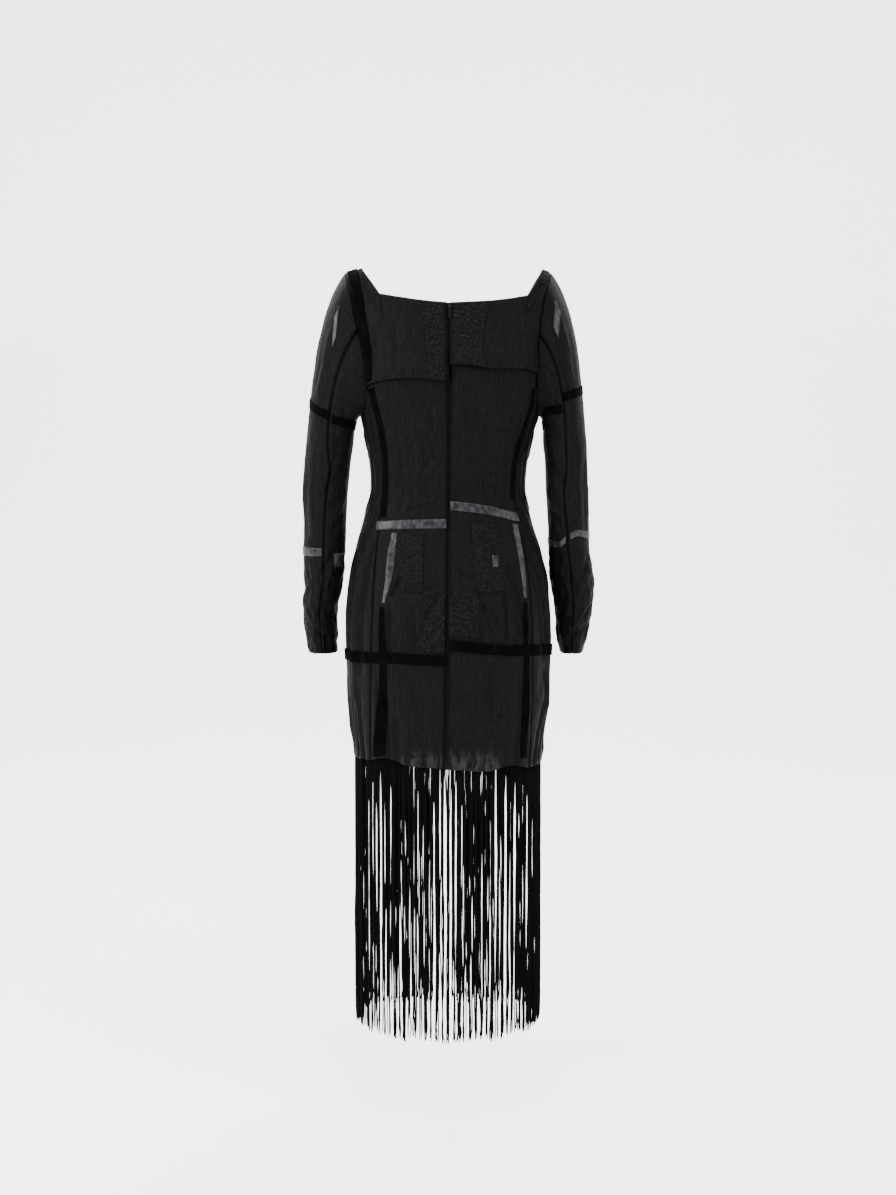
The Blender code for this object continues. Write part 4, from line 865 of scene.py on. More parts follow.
# The side panels run in one length from the underarm to the hem, and the front is a plain bodice
# and skirt with a wide shallow neckline. All are the same crepe, sewn edge to edge.
FRONT_SEAM = (
    # height, left, right
    (-0.183, 0.1268, 0.1395),
    (-0.225, 0.1200, 0.1260),
    (-0.270, 0.1140, 0.1160),
    (-0.330, 0.1020, 0.1030),
    (-0.397, 0.1060, 0.1060),
    (-0.500, 0.1200, 0.1210),
    (-0.600, 0.1230, 0.1240),
    (-0.700, 0.1210, 0.1230),
    (-0.790, 0.1190, 0.1200),
)
FRONT_NECK = (
    # share from the left armhole to the right one, place across, height
    (0.00, -0.1630, 0.000),
    (0.08, -0.1370, 0.000),
    (0.16, -0.1220, -0.030),
    (0.25, -0.1080, -0.062),
    (0.34, -0.0750, -0.071),
    (0.50, 0.0000, -0.077),
    (0.66, 0.0800, -0.071),
    (0.75, 0.1160, -0.062),
    (0.84, 0.1340, -0.030),
    (0.92, 0.1500, 0.000),
    (1.00, 0.1640, 0.000),
)


def front_edge(side, gap_side):
    corner = armhole_place(side, SIDE_SHARE)[1]

    def x_at(height):
        if height > corner:
            return side * (armhole_x(height, side) - ARMHOLE_GAP / 2)
        return side * (value(FRONT_SEAM, height, side_column(side)) + gap_side * SEAM_GAP / 2)

    return x_at


def side_panel_place(side):
    """From the princess seam round under the arm to the front seam, in one length to the hem."""
    near_x = princess_edge(side, 1)
    far_x = front_edge(side, 1)

    def far_angle(x, height):
        return side * (math.pi - lean_at(x, height))

    low_at = edge_at(HEM, side)
    drop = Vector((0.0, -ARMHOLE_GAP / 2))

    def top(share):
        return armhole_place(side, SIDE_SHARE + share * 2 * (1 - SIDE_SHARE)) + drop

    near = upright(near_x, back_angle, meeting(near_x, back_angle, low_at), top(0)[1])
    far = upright(far_x, far_angle, meeting(far_x, far_angle, low_at), top(1)[1])
    return patch(near, far, level(near(0)[0], far(0)[0], low_at), top)


def around_front(rows, raise_by=0.0):
    """An edge across the front: its height at an angle from the left side through the front."""

    def height_at(angle):
        side = 1 if angle < math.pi else -1
        return edge_at(rows, side, raise_by)(math.remainder(angle, 2 * math.pi))

    return height_at


def front_bodice_place():
    left_x = front_edge(-1, -1)
    right_x = front_edge(1, -1)
    low_at = around_front(WAIST, SEAM_GAP / 2)
    top = SHOULDER_TOP - SEAM_GAP / 2

    def neck(share):
        height = min(height_of(straight(FRONT_NECK, share, 2)), top)
        return Vector((front_angle(straight(FRONT_NECK, share), height), height))

    left = upright(left_x, front_angle, meeting(left_x, front_angle, low_at), top)
    right = upright(right_x, front_angle, meeting(right_x, front_angle, low_at), top)
    return patch(left, right, level(left(0)[0], right(0)[0], low_at), neck)


def front_skirt_place():
    left_x = front_edge(-1, -1)
    right_x = front_edge(1, -1)
    low_at = around_front(HEM)
    high_at = around_front(WAIST, -SEAM_GAP / 2)
    left_ends = [meeting(left_x, front_angle, height_at) for height_at in (low_at, high_at)]
    left = upright(left_x, front_angle, *left_ends)
    right = upright(
        right_x, front_angle, meeting(right_x, front_angle, low_at), meeting(right_x, front_angle, high_at)
    )
    return patch(left, right, level(left(0)[0], right(0)[0], low_at), level(left(1)[0], right(1)[0], high_at))


# The turnings of the side seams, as a share of the side panel's width, lie behind each seam.
SIDE_TURNING = 0.08
for side, word in ((-1, "left"), (1, "right")):
    place = side_panel_place(side)
    panels["side", side] = (place, on_torso(place, wide=0.15))
    piece = shell(f"side_panel_cloth_{word}", crepe, panels["side", side][1], 84, 190, sewn=0.15)
    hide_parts(f"side_panel_{word}")
    for seam, at in (("back", 0.0), ("front", 1.0)):

        def side_turning(s, t, out, place=place, at=at):
            angle, height = place(at + (s - 0.5) * SIDE_TURNING, 0.003 + 0.985 * t)
            return torso_point(angle, height, out)

        name = f"{seam}_side_turning_{word}"
        piece = shell(name, crepe, side_turning, 4, 140, thick=TURNING_THICK, out=BEHIND_SEAM)

FRONT_TIERS = (("bodice", front_bodice_place, 130, 120), ("skirt", front_skirt_place, 120, 110))
for tier, make_place, columns, rows in FRONT_TIERS:
    place = make_place()
    panels[f"front_{tier}"] = (place, on_torso(place, wide=0.28))
    piece = shell(f"front_{tier}_cloth", crepe, panels[f"front_{tier}"][1], columns, rows, sewn=0.28)
    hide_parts(f"front_{tier}")

# Each long narrow sleeve is a top and an under piece, joined down the back and the front of the
# arm. The cloth creases round the elbow, and the forearm is a rougher, crumpled crepe.
# A place on a sleeve is a turn from its outer line, and a way down: 0 armhole, 1 upper arm, 2 cuff.
UPPER_ARM = -0.275
CUFF = -0.614
SLEEVE = (
    # height, left outer, left inner, right outer, right inner, centre, half-depth
    (-0.275, 0.2265, 0.1510, 0.2215, 0.1520, 0.000, 0.050),
    (-0.301, 0.2284, 0.1546, 0.2220, 0.1546, -0.002, 0.048),
    (-0.349, 0.2320, 0.1597, 0.2240, 0.1565, -0.003, 0.044),
    (-0.397, 0.2307, 0.1630, 0.2260, 0.1600, 0.000, 0.042),
    (-0.445, 0.2328, 0.1650, 0.2280, 0.1620, 0.006, 0.040),
    (-0.494, 0.2316, 0.1687, 0.2364, 0.1654, 0.013, 0.038),
    (-0.542, 0.2352, 0.1786, 0.2336, 0.1738, 0.020, 0.035),
    (-0.591, 0.2308, 0.1806, 0.2260, 0.1770, 0.027, 0.031),
    (-0.614, 0.2260, 0.1810, 0.2200, 0.1830, 0.030, 0.030),
)
CAP_PULL = 0.8
FRONT_TURN = -120
BACK_TURN = (
    # share down the sleeve, left, right
    (0.00, 72, 76),
    (1.00, 90, 92),
    (1.12, 103, 95),
    (1.22, 98, 104),
    (1.45, 92, 98),
    (2.00, 92, 95),
)
SLEEVE_FOLD_RADIUS = 0.042
SLEEVE_FOLDS = (
    # side, first turn, first height, last turn, last height, height of fold, half-width
    (-1, 150, -0.305, 95, -0.350, -0.0028, 0.0080),
    (-1, 165, -0.340, 120, -0.395, 0.0024, 0.0085),
    (-1, 40, -0.300, 30, -0.430, -0.0020, 0.0085),
    (-1, 140, -0.430, 70, -0.500, -0.0024, 0.0080),
    (-1, 30, -0.560, 120, -0.590, -0.0020, 0.0070),
    (1, 150, -0.300, 100, -0.345, -0.0028, 0.0080),
    (1, 165, -0.335, 125, -0.390, 0.0024, 0.0085),
    (1, 45, -0.290, 35, -0.420, -0.0020, 0.0085),
    (1, 140, -0.440, 75, -0.510, -0.0024, 0.0080),
    (1, 35, -0.565, 120, -0.592, -0.0020, 0.0070),
)
SLEEVE_CREASES = (
    # side, first turn and height, last turn and height, depth, half-width
    (-1, 20, -0.060, 35, -0.190, -0.0012, 0.0045),
    (-1, 60, -0.120, 66, -0.215, -0.0014, 0.0045),
    (-1, 45, -0.130, 42, -0.200, 0.0010, 0.0050),
    (-1, 100, -0.190, 120, -0.235, -0.0016, 0.0040),
    (-1, 120, -0.250, 104, -0.330, -0.0014, 0.0045),
    (-1, 60, -0.250, 62, -0.400, -0.0014, 0.0045),
    (-1, 20, -0.260, 12, -0.410, 0.0012, 0.0055),
    (-1, 150, -0.380, 110, -0.420, -0.0016, 0.0040),
    (-1, 30, -0.470, 60, -0.500, -0.0016, 0.0040),
    (-1, 100, -0.500, 70, -0.530, 0.0014, 0.0045),
    (-1, 20, -0.520, 60, -0.545, -0.0016, 0.0040),
    (-1, -40, -0.320, -60, -0.420, -0.0016, 0.0060),
    (-1, 230, -0.340, 200, -0.380, -0.0016, 0.0050),
    (1, 22, -0.060, 38, -0.180, -0.0012, 0.0045),
    (1, 60, -0.110, 70, -0.200, -0.0016, 0.0045),
    (1, 84, -0.150, 110, -0.215, -0.0016, 0.0040),
    (1, 120, -0.250, 104, -0.330, -0.0014, 0.0045),
    (1, 60, -0.250, 62, -0.400, -0.0014, 0.0045),
    (1, 24, -0.260, 16, -0.400, 0.0012, 0.0055),
    (1, 150, -0.370, 112, -0.410, -0.0016, 0.0040),
    (1, 30, -0.450, 60, -0.480, -0.0016, 0.0040),
    (1, 100, -0.480, 70, -0.510, 0.0014, 0.0045),
    (1, 24, -0.530, 70, -0.560, -0.0016, 0.0040),
    (1, -40, -0.320, -60, -0.420, -0.0016, 0.0060),
    (1, 230, -0.340, 200, -0.380, -0.0016, 0.0050),
)
SLEEVE_LINES = {
    side: [row[1:] for row in SLEEVE_FOLDS + SLEEVE_CREASES if row[0] == side] for side in (-1, 1)
}
CRUMPLE_FROM = -0.440
CRUMPLE = 0.0022
TABLES["sleeve"] = SLEEVE


def sleeve_form(side, turn, down):
    """The middle line of a sleeve's outer face, without folds; turn is in degrees."""
    outer = 1 if side < 0 else 3
    height = UPPER_ARM if down < 1 else UPPER_ARM + (down - 1) * (CUFF - UPPER_ARM)
    wide = sizes_at("sleeve", height, outer)
    narrow = sizes_at("sleeve", height, outer + 1)
    angle = math.radians(turn)
    ring = Vector(
        (
            side * ((wide + narrow) / 2 + (wide - narrow) / 2 * math.cos(angle)),
            sizes_at("sleeve", height, 5) - sizes_at("sleeve", height, 6) * math.sin(angle),
            height,
        )
    )
    if down >= 1:
        return ring
    share = abs(math.remainder(turn, 360)) / 180
    hole_angle, hole_height = armhole_place(side, share if math.sin(angle) >= 0 else 2 - share)
    start = torso_form(hole_angle, hole_height)
    under = (1 - math.cos(angle)) / 2
    leave = Vector((side * (0.62 + 0.33 * under), -0.12 * math.sin(angle), -0.80 + 0.50 * under)).normalized()
    away = Vector((side, 0, 0.35)).normalized()
    start += away * ARMHOLE_GAP
    reach = (ring - start).length
    first = (2 * down**3 - 3 * down**2 + 1) * start
    first += (down**3 - 2 * down**2 + down) * reach * CAP_PULL * leave
    arrive = Vector((side * 0.10, 0, -1)).normalized()
    return first + (3 * down**2 - 2 * down**3) * ring + (down**3 - down**2) * reach * arrive


def sleeve_point(side, turn, down, out):
    """A point on a sleeve, a distance out from its outer face, with its folds and creases."""
    step = 1e-3
    base = sleeve_form(side, turn, down)
    round_it = sleeve_form(side, turn + 0.5, down) - base
    down_it = sleeve_form(side, turn, down + step) - sleeve_form(side, turn, max(down - step, 0.0))
    normal = round_it.cross(down_it).normalized() * side
    rows = SLEEVE_LINES[side]
    near = math.radians(turn if turn > -60 else turn + 360)
    across = math.remainder(math.radians(turn), 2 * math.pi) * SLEEVE_FOLD_RADIUS
    free = ease(down / 0.15)
    rough = CRINKLE + CRUMPLE * ease((CRUMPLE_FROM - base.z) / 0.03)
    round_at = Vector((math.cos(math.radians(turn)), math.sin(math.radians(turn)), 0.0)) * 3.4
    lumps = noise.noise(Vector((round_at.x, round_at.y, base.z * 62 + side * 9)))
    fine = noise.noise(Vector((round_at.x * 4, round_at.y * 4, base.z * 24)))
    out += free * (near_folds(rows, near, base.z, SLEEVE_FOLD_RADIUS) + rough * lumps + CRINKLE * fine)
    return base + normal * out


def down_at(side, turn, z):
    """The share down a sleeve at which its outer face is at a height."""
    low, high = 0.0, 2.0
    for _ in range(30):
        middle = (low + high) / 2
        if sleeve_form(side, turn, middle).z > z:
            low = middle
        else:
            high = middle
    return (low + high) / 2


crumpled_crepe = add_crepe("crumpled_crepe", 1.7)
TURNING_WIDE = 0.018
TURNING_FROM = 0.02
TURNING_TO = 1.98
TURNING_AT_SHOULDER = 0.25
half_seam = math.degrees(SEAM_GAP / SLEEVE_FOLD_RADIUS)
for side, word in ((-1, "left"), (1, "right")):

    def top_place(s, t, side=side):
        back = value(BACK_TURN, 2 * t, side_column(side)) - half_seam
        start = FRONT_TURN + half_seam
        return Vector((start + s * (back - start), 2 * t))

    def under_place(s, t, side=side):
        back = value(BACK_TURN, 2 * t, side_column(side)) + half_seam
        return Vector((back + s * (FRONT_TURN + 360 - half_seam - back), 2 * t))

    for part, place in (("top", top_place), ("under", under_place)):

        def sleeve_cloth(s, t, out, side=side, place=place):
            turn, down = place(s, t)
            dip = math.exp(-((s * 0.12 / SEAM_SOFT) ** 2)) + math.exp(-(((1 - s) * 0.12 / SEAM_SOFT) ** 2))
            return sleeve_point(side, turn, down, out - SEAM_DIP * dip)

        panels[f"sleeve_{part}", side] = (place, sleeve_cloth)
        piece = shell(f"sleeve_{part}_cloth_{word}", crumpled_crepe, sleeve_cloth, 76, 190, sewn=PANEL_WIDE)
        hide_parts(f"sleeve_{part}_{word}")

    def turning(s, t, out, side=side):
        share = TURNING_FROM + s * (TURNING_TO - TURNING_FROM)
        along = armhole_place(side, share + 0.02) - armhole_place(side, share - 0.02)
        narrowing = TURNING_AT_SHOULDER + (1 - TURNING_AT_SHOULDER) * ease(min(share, 2 - share) / 0.3)
        wide = TURNING_WIDE * narrowing
        across = Vector((along[1], -along[0] * FOLD_RADIUS)).normalized() * (t - 0.5) * wide
        angle, height = armhole_place(side, share)
        return torso_point(angle + across[0] / FOLD_RADIUS, height + across[1], out)

    piece = shell(f"armhole_turning_{word}", crepe, turning, 90, 4, thick=0.0008, out=-CLOTH_THICK - 0.0010)

    def seam_turning(s, t, out, side=side):
        down = 0.05 + 1.949 * t
        turn = value(BACK_TURN, down, side_column(side))
        turn += math.degrees((s - 0.5) * TURNING_WIDE / SLEEVE_FOLD_RADIUS)
        return sleeve_point(side, turn, down, out)

    behind = -CLOTH_THICK - SEAM_DIP - 0.0003
    piece = shell(f"sleeve_turning_{word}", crepe, seam_turning, 4, 120, thick=TURNING_THICK, out=behind)

# Black velvet ribbon, stitched flat along both edges: a band round each upper arm, one round the
# hips, strips down the back seams and the skirt, and one down the left armhole seam.
HIP_BAND = (
    # degrees from the centre back, left height, right height
    (0, -0.6080, -0.5835),
    (25, -0.6055, -0.5920),
    (66, -0.6100, -0.5995),
    (90, -0.6125, -0.6030),
    (130, -0.6120, -0.6060),
)
HIP_BAND_HALF = 0.0085
BODICE_VELVET_WIDTH = {-1: 0.0100, 1: 0.0070}
BODICE_VELVET_LOW = {-1: -0.3880, 1: -0.3600}
SKIRT_VELVET = {
    -1: (
        (-0.5260, 0.1035, 0.0035),
        (-0.5700, 0.1030, 0.0050),
        (-0.6250, 0.1015, 0.0055),
        (-0.7650, 0.1085, 0.0095),
    ),
    1: (
        (-0.5200, 0.1210, 0.0030),
        (-0.5700, 0.1230, 0.0042),
        (-0.6250, 0.1235, 0.0045),
        (-0.7700, 0.1195, 0.0060),
    ),
}
SLEEVE_VELVET_HALF = 0.0065
SLEEVE_VELVET = {
    # turn, height; the top sleeve first, then the under sleeve
    (-1, "top"): ((-116, -0.2050), (0, -0.2090), (33, -0.2165), (72, -0.2270), (85, -0.2300)),
    (-1, "under"): ((91, -0.2355), (148, -0.2445), (180, -0.2470), (236, -0.2410)),
    (1, "top"): ((-116, -0.1860), (0, -0.1890), (36, -0.1930), (70, -0.1985), (86, -0.2010)),
    (1, "under"): ((92, -0.2180), (144, -0.2260), (180, -0.2470), (236, -0.2320)),
}
RIBBON_THICK = 0.0007


def ribbon_on(
    name, finish, panel, low_s, high_s, low_t, high_t, columns, rows, across=None, up=None, layer=1
):
    """A ribbon on a panel, between shares across and up it; across(t) or up(s) bends its sides."""
    place, panel_point = panel

    def point(s, t, out):
        on_s = low_s + s * (high_s - low_s)
        on_t = low_t + t * (high_t - low_t)
        if across:
            first, last = across(on_t)
            on_s = first + s * (last - first)
        if up:
            first, last = up(on_s)
            on_t = first + t * (last - first)
        return panel_point(on_s, on_t, out)

    return shell(name, finish, point, columns, rows, thick=RIBBON_THICK, out=layer * (LAY_GAP + RIBBON_THICK))


def strip_down(name, finish, panel, side, rows, layer=1):
    """A strip down the back, about a line given by heights, middles and half-widths."""
    place = panel[0]
    ends = [spot(place, back_angle(side * row[1], row[0]), row[0])[1] for row in (rows[-1], rows[0])]

    @lru_cache(maxsize=None)
    def across(t):
        height = place(0.7, t)[1]
        middle, half = value(rows, height), value(rows, height, 2)
        sides = [
            spot(place, back_angle(side * (middle + edge * half), height), height)[0] for edge in (-1, 1)
        ]
        return min(sides[0], 0.996), min(sides[1], 0.996)

    return ribbon_on(name, finish, panel, 0, 1, ends[0], ends[1], 6, 60, across=across, layer=layer)


def sleeve_band(name, finish, panel, side, rows, halves, columns=70):
    """A band round a sleeve about a line of turns and heights."""
    place = panel[0]
    start, end = [spot(place, turn, down_at(side, turn, z))[0] for turn, z in (rows[0][:2], rows[-1][:2])]

    @lru_cache(maxsize=None)
    def up(s):
        turn = place(s, 0.5)[0]
        for _ in range(3):
            z = value(rows, turn)
            half = halves if isinstance(halves, float) else value(halves, turn)
            downs = [down_at(side, turn, z + edge * half) for edge in (-1, 1)]
            turn = place(s, (downs[0] + downs[1]) / 4)[0]
        return downs[0] / 2, downs[1] / 2

    return ribbon_on(name, finish, panel, start, end, 0, 1, columns, 5, up=up)


velvet, velvet_tree, velvet_shader = new_finish(
    "velvet", 1.0, specular=0.02, sheen=0.008, sheen_roughness=0.3
)
pile = grain(velvet_tree, 1500.0, detail=2.0)
nap = grain(velvet_tree, 90.0, (1.0, 1.0, 0.4), detail=2.0)
velvet_tree.links.new(
    shades(velvet_tree, nap, (0.0004, 0.0004, 0.0005), (0.0012, 0.0012, 0.0014), 0.35, 0.7),
    velvet_shader.inputs["Base Color"],
)
relief(velvet_tree, velvet_shader, ((nap, 0.0008, 0.4), (pile, 0.0003, 0.8)))

trims = []
for side, word in ((-1, "left"), (1, "right")):
    top = armhole_place(side, SIDE_SHARE)[1] - 0.004
    width = BODICE_VELVET_WIDTH[side]
    line = [
        (row[0], row[side_column(side)] - width / 2 - 0.0006, width / 2)
        for row in PRINCESS
        if BODICE_VELVET_LOW[side] < row[0] < top
    ]
    for height in (BODICE_VELVET_LOW[side], top):
        line.append((height, value(PRINCESS, height, side_column(side)) - width / 2 - 0.0006, width / 2))
    line.sort(reverse=True)
    piece = strip_down(f"bodice_velvet_ribbon_{word}", velvet, panels["bodice", side], side, line)
    trims.append((piece, f"bodice_velvet_{word}"))
    piece = strip_down(f"skirt_velvet_ribbon_{word}", velvet, panels["skirt", side], side, SKIRT_VELVET[side])
    trims.append((piece, f"skirt_velvet_{word}"))

    middle_at = edge_at(HIP_BAND, side)
    start = panels["skirt", side][0](0.012, 0.4)[0]
    end = panels["side", side][0](0.97, 0.3)[0]

    def hip_ribbon(s, t, out, start=start, end=end, middle_at=middle_at):
        angle = start + s * (end - start)
        return torso_point(angle, middle_at(angle) + (2 * t - 1) * HIP_BAND_HALF, out)

    layer = 2 * (LAY_GAP + RIBBON_THICK)
    piece = shell(f"hip_velvet_ribbon_{word}", velvet, hip_ribbon, 150, 6, thick=RIBBON_THICK, out=layer)
    trims.append((piece, f"hip_velvet_{word}"))
    for part in ("top", "under"):
        piece = sleeve_band(
            f"sleeve_velvet_ribbon_{part}_{word}",
            velvet,
            panels[f"sleeve_{part}", side],
            side,
            SLEEVE_VELVET[side, part],
            SLEEVE_VELVET_HALF,
        )
        trims.append((piece, f"sleeve_velvet_{part}_{word}"))
piece = ribbon_on(
    "armhole_velvet_ribbon_left", velvet, panels["yoke", -1], 0.885, 0.985, 0.02, 0.99, 8, 70, layer=1.5
)
trims.append((piece, "armhole_velvet_left"))
for piece, node_name in trims:
    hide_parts(node_name)

# Charcoal satin ribbon, pressed flat and stitched down: across the back waist, down each hip, round the
# forearms, and slivers on the sleeve heads. Its soft grey sheen is partly its own shine and partly a painted
# sheen of lighter streaks in its colour.
WAIST_BAND_HALF = 0.0070
WAIST_BAND_END = {-1: 0.1100, 1: 0.1110}
HIP_SATIN = {
    # height, middle, half-width
    -1: (
        (-0.4115, 0.0835, 0.0046),
        (-0.4540, 0.0890, 0.0055),
        (-0.4850, 0.0930, 0.0050),
        (-0.5200, 0.1010, 0.0022),
    ),
    1: (
        (-0.3990, 0.1050, 0.0044),
        (-0.4330, 0.1110, 0.0042),
        (-0.4720, 0.1172, 0.0036),
        (-0.5130, 0.1205, 0.0018),
    ),
}
SLEEVE_SATIN = {
    # side, part of the sleeve, and rows of turn, height of the middle, half-width
    "sleeve_satin_left": (-1, "top", ((-116, -0.4430, 0.0068), (27, -0.4458, 0.0070), (88, -0.4456, 0.0066))),
    "sleeve_satin_patch_left": (-1, "under", ((122, -0.4590, 0.0110), (158, -0.4610, 0.0110))),
    "sleeve_satin_top_right": (
        1,
        "top",
        ((-116, -0.4230, 0.0048), (30, -0.4196, 0.0050), (70, -0.4150, 0.0050), (90, -0.4200, 0.0050)),
    ),
    "sleeve_satin_under_right": (
        1,
        "under",
        ((102, -0.4255, 0.0050), (121, -0.4340, 0.0048), (150, -0.4330, 0.0048), (236, -0.4280, 0.0048)),
    ),
    "sleeve_head_satin_left": (
        -1,
        "top",
        ((33, -0.0680, 0.0085), (43, -0.0930, 0.0090), (53, -0.1160, 0.0080)),
    ),
    "sleeve_head_satin_right": (
        1,
        "top",
        ((30, -0.0590, 0.0085), (43, -0.0810, 0.0085), (55, -0.1020, 0.0075)),
    ),
}
LACE = {
    # name: nearer edge, farther edge, top, bottom
    "hip_lace_left_upper": (-0.0388, -0.0750, -0.4100, -0.5020),
    "hip_lace_left_lower": (-0.0050, -0.0385, -0.5060, -0.5940),
    "hip_lace_right_upper": (0.0390, 0.0826, -0.3960, -0.5020),
    "hip_lace_right_lower": (0.0020, 0.0482, -0.5100, -0.5700),
}
SATIN_TAB = (0.0690, 0.0785, -0.4460, -0.4640)


def block_on(name, finish, panel, near, far, top, bottom, columns, rows, layer=1):
    """A patch along the grain of its panel, between two distances and two heights."""
    place = panel[0]
    height = (top + bottom) / 2
    middle = (near + far) / 2
    low_s = spot(place, back_angle(near, height), height)[0]
    high_s = spot(place, back_angle(far, height), height)[0]
    low_t = spot(place, back_angle(middle, bottom), bottom)[1]
    high_t = spot(place, back_angle(middle, top), top)[1]
    return ribbon_on(name, finish, panel, low_s, high_s, low_t, high_t, columns, rows, layer=layer)


satin, satin_tree, satin_shader = new_finish("satin", 0.40, specular=0.14)
sheen_streaks = grain(satin_tree, 150.0, (1.0, 1.0, 0.7), detail=3.0)
wrinkle = grain(satin_tree, 260.0, (0.5, 0.5, 1.0), detail=3.0)
# Painted sheen: lighter grey streaks in the charcoal colour.
painted_sheen = shades(satin_tree, sheen_streaks, (0.0030, 0.0030, 0.0036), (0.021, 0.021, 0.023), 0.36, 0.66)
# The satin also gets painted shade in hollows and seams and a painted highlight on ridges.
satin_tree.links.new(paint_shade_and_highlight(satin_tree, painted_sheen), satin_shader.inputs["Base Color"])
relief(satin_tree, satin_shader, ((sheen_streaks, 0.0012, 0.4), (wrinkle, 0.0004, 0.6)))

ribbons = []
for side, word in ((-1, "left"), (1, "right")):
    middle_at = edge_at(WAIST, side)
    start = panels["bodice", side][0](0.012, 0.0)[0]
    end = back_angle(side * WAIST_BAND_END[side], -0.39)

    def waist_ribbon(s, t, out, start=start, end=end, middle_at=middle_at):
        angle = start + s * (end - start)
        return torso_point(angle, middle_at(angle) + (2 * t - 1) * WAIST_BAND_HALF, out)

    outer = LAY_GAP + RIBBON_THICK
    piece = shell(f"waist_satin_ribbon_{word}", satin, waist_ribbon, 70, 6, thick=RIBBON_THICK, out=outer)
    ribbons.append((piece, f"waist_satin_{word}"))
    piece = strip_down(f"hip_satin_ribbon_{word}", satin, panels["skirt", side], side, HIP_SATIN[side])
    ribbons.append((piece, f"hip_satin_{word}"))
for node_name, (side, part, rows) in SLEEVE_SATIN.items():
    halves = [(row[0], row[2]) for row in rows]
    piece = sleeve_band(node_name + "_ribbon", satin, panels[f"sleeve_{part}", side], side, rows, halves, 44)
    ribbons.append((piece, node_name))
piece = block_on("hip_satin_tab_ribbon_right", satin, panels["skirt", 1], *SATIN_TAB, 8, 14, layer=2)
ribbons.append((piece, "hip_satin_tab_right"))
for piece, node_name in ribbons:
    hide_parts(node_name)

# Patches of black lace lie on the yoke and the skirt, stitched round their edges, with a small
# raised flower and leaf ground that only shows as texture.
YOKE_LACE = {-1: (0.030, 0.200), 1: (0.030, 0.285)}
SHOULDER_LACE = {-1: (0.60, 0.875), 1: (0.64, 0.975)}
SHOULDER_LACE_LOW = 0.72
SHOULDER_LACE_HIGH = 0.985
lace, lace_tree, lace_shader = new_finish("lace", 0.8, specular=0.03)
lace_place = add_node(lace_tree, "ShaderNodeTexCoord").outputs["Object"]
petal_cells = {"Vector": lace_place, "Scale": 400.0, "Randomness": 0.9}
petals = add_node(lace_tree, "ShaderNodeTexVoronoi", petal_cells, feature="SMOOTH_F1").outputs["Distance"]
net_cells = {"Vector": lace_place, "Scale": 900.0, "Randomness": 0.5}
net = add_node(lace_tree, "ShaderNodeTexVoronoi", net_cells, feature="DISTANCE_TO_EDGE").outputs["Distance"]
petal = run_between(lace_tree, petals, (0.14, 0.46), (0.5, 0.0))
thread = run_between(lace_tree, net, (0.02, 0.16), (0.5, 0.0))
raised = add_node(lace_tree, "ShaderNodeMath", {0: petal, 1: thread}, operation="ADD").outputs[0]
lace_tree.links.new(
    shades(lace_tree, raised, (0.0004, 0.0004, 0.0005), (0.0105, 0.0105, 0.0115), 0.10, 0.95),
    lace_shader.inputs["Base Color"],
)
relief(lace_tree, lace_shader, ((petals, -0.0010, 0.9), (net, -0.0004, 0.7)))

patches = []
for node_name, (near, far, top, bottom) in LACE.items():
    side = 1 if far > 0 else -1
    piece = block_on(node_name + "_patch", lace, panels["skirt", side], near, far, top, bottom, 36, 60)
    patches.append((piece, node_name))
for side, word in ((-1, "left"), (1, "right")):
    low, high = YOKE_LACE[side]
    piece = ribbon_on(f"yoke_lace_patch_{word}", lace, panels["yoke", side], low, high, 0.012, 0.985, 30, 60)
    patches.append((piece, f"yoke_lace_{word}"))
    shoulder = (*SHOULDER_LACE[side], SHOULDER_LACE_LOW, SHOULDER_LACE_HIGH)
    piece = ribbon_on(f"shoulder_lace_patch_{word}", lace, panels["yoke", side], *shoulder, 40, 30)
for piece, node_name in patches:
    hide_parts(node_name)

# A fringe of soft black yarn hangs from a tape inside the hem. The strands are about two
# millimetres thick, hang straight, swing together in small groups and end unevenly in soft tips.
TAPE_HIGH = 0.012
YARN_PITCH = 0.0022
YARN_RADIUS = 0.00106
YARN_END = -1.2225
YARN_UNEVEN = 0.0045
YARN_SIDE_RISE = 0.010
YARN_RINGS = 26
YARN_SIDES = 5
GROUP_PITCH = 0.0088
GROUP_PULL = 0.62
SWAY = 0.0036
KINK = 0.0007
CURL = 0.0040


def scatter(number):
    """An even scatter between -1 and 1 that is the same on each run."""
    return 2 * ((number * 0.6180339887) % 1) - 1


def yarn_pattern(sides, rings):
    """One strand as a tube from z 0 to z 1, of radius 1, closed at its ends."""
    pattern = bmesh.new()
    bmesh.ops.create_grid(pattern, x_segments=sides, y_segments=rings, size=0.5)
    for vertex in pattern.verts:
        turn = (vertex.co.x + 0.5) * 2 * math.pi
        vertex.co = Vector((math.cos(turn), math.sin(turn), vertex.co.y + 0.5))
    bmesh.ops.remove_doubles(pattern, verts=pattern.verts[:], dist=1e-5)
    bmesh.ops.holes_fill(pattern, edges=[edge for edge in pattern.edges if edge.is_boundary], sides=0)
    bmesh.ops.recalc_face_normals(pattern, faces=pattern.faces[:])
    data = bpy.data.meshes.new("yarn_pattern")
    pattern.to_mesh(data)
    pattern.free()
    return data


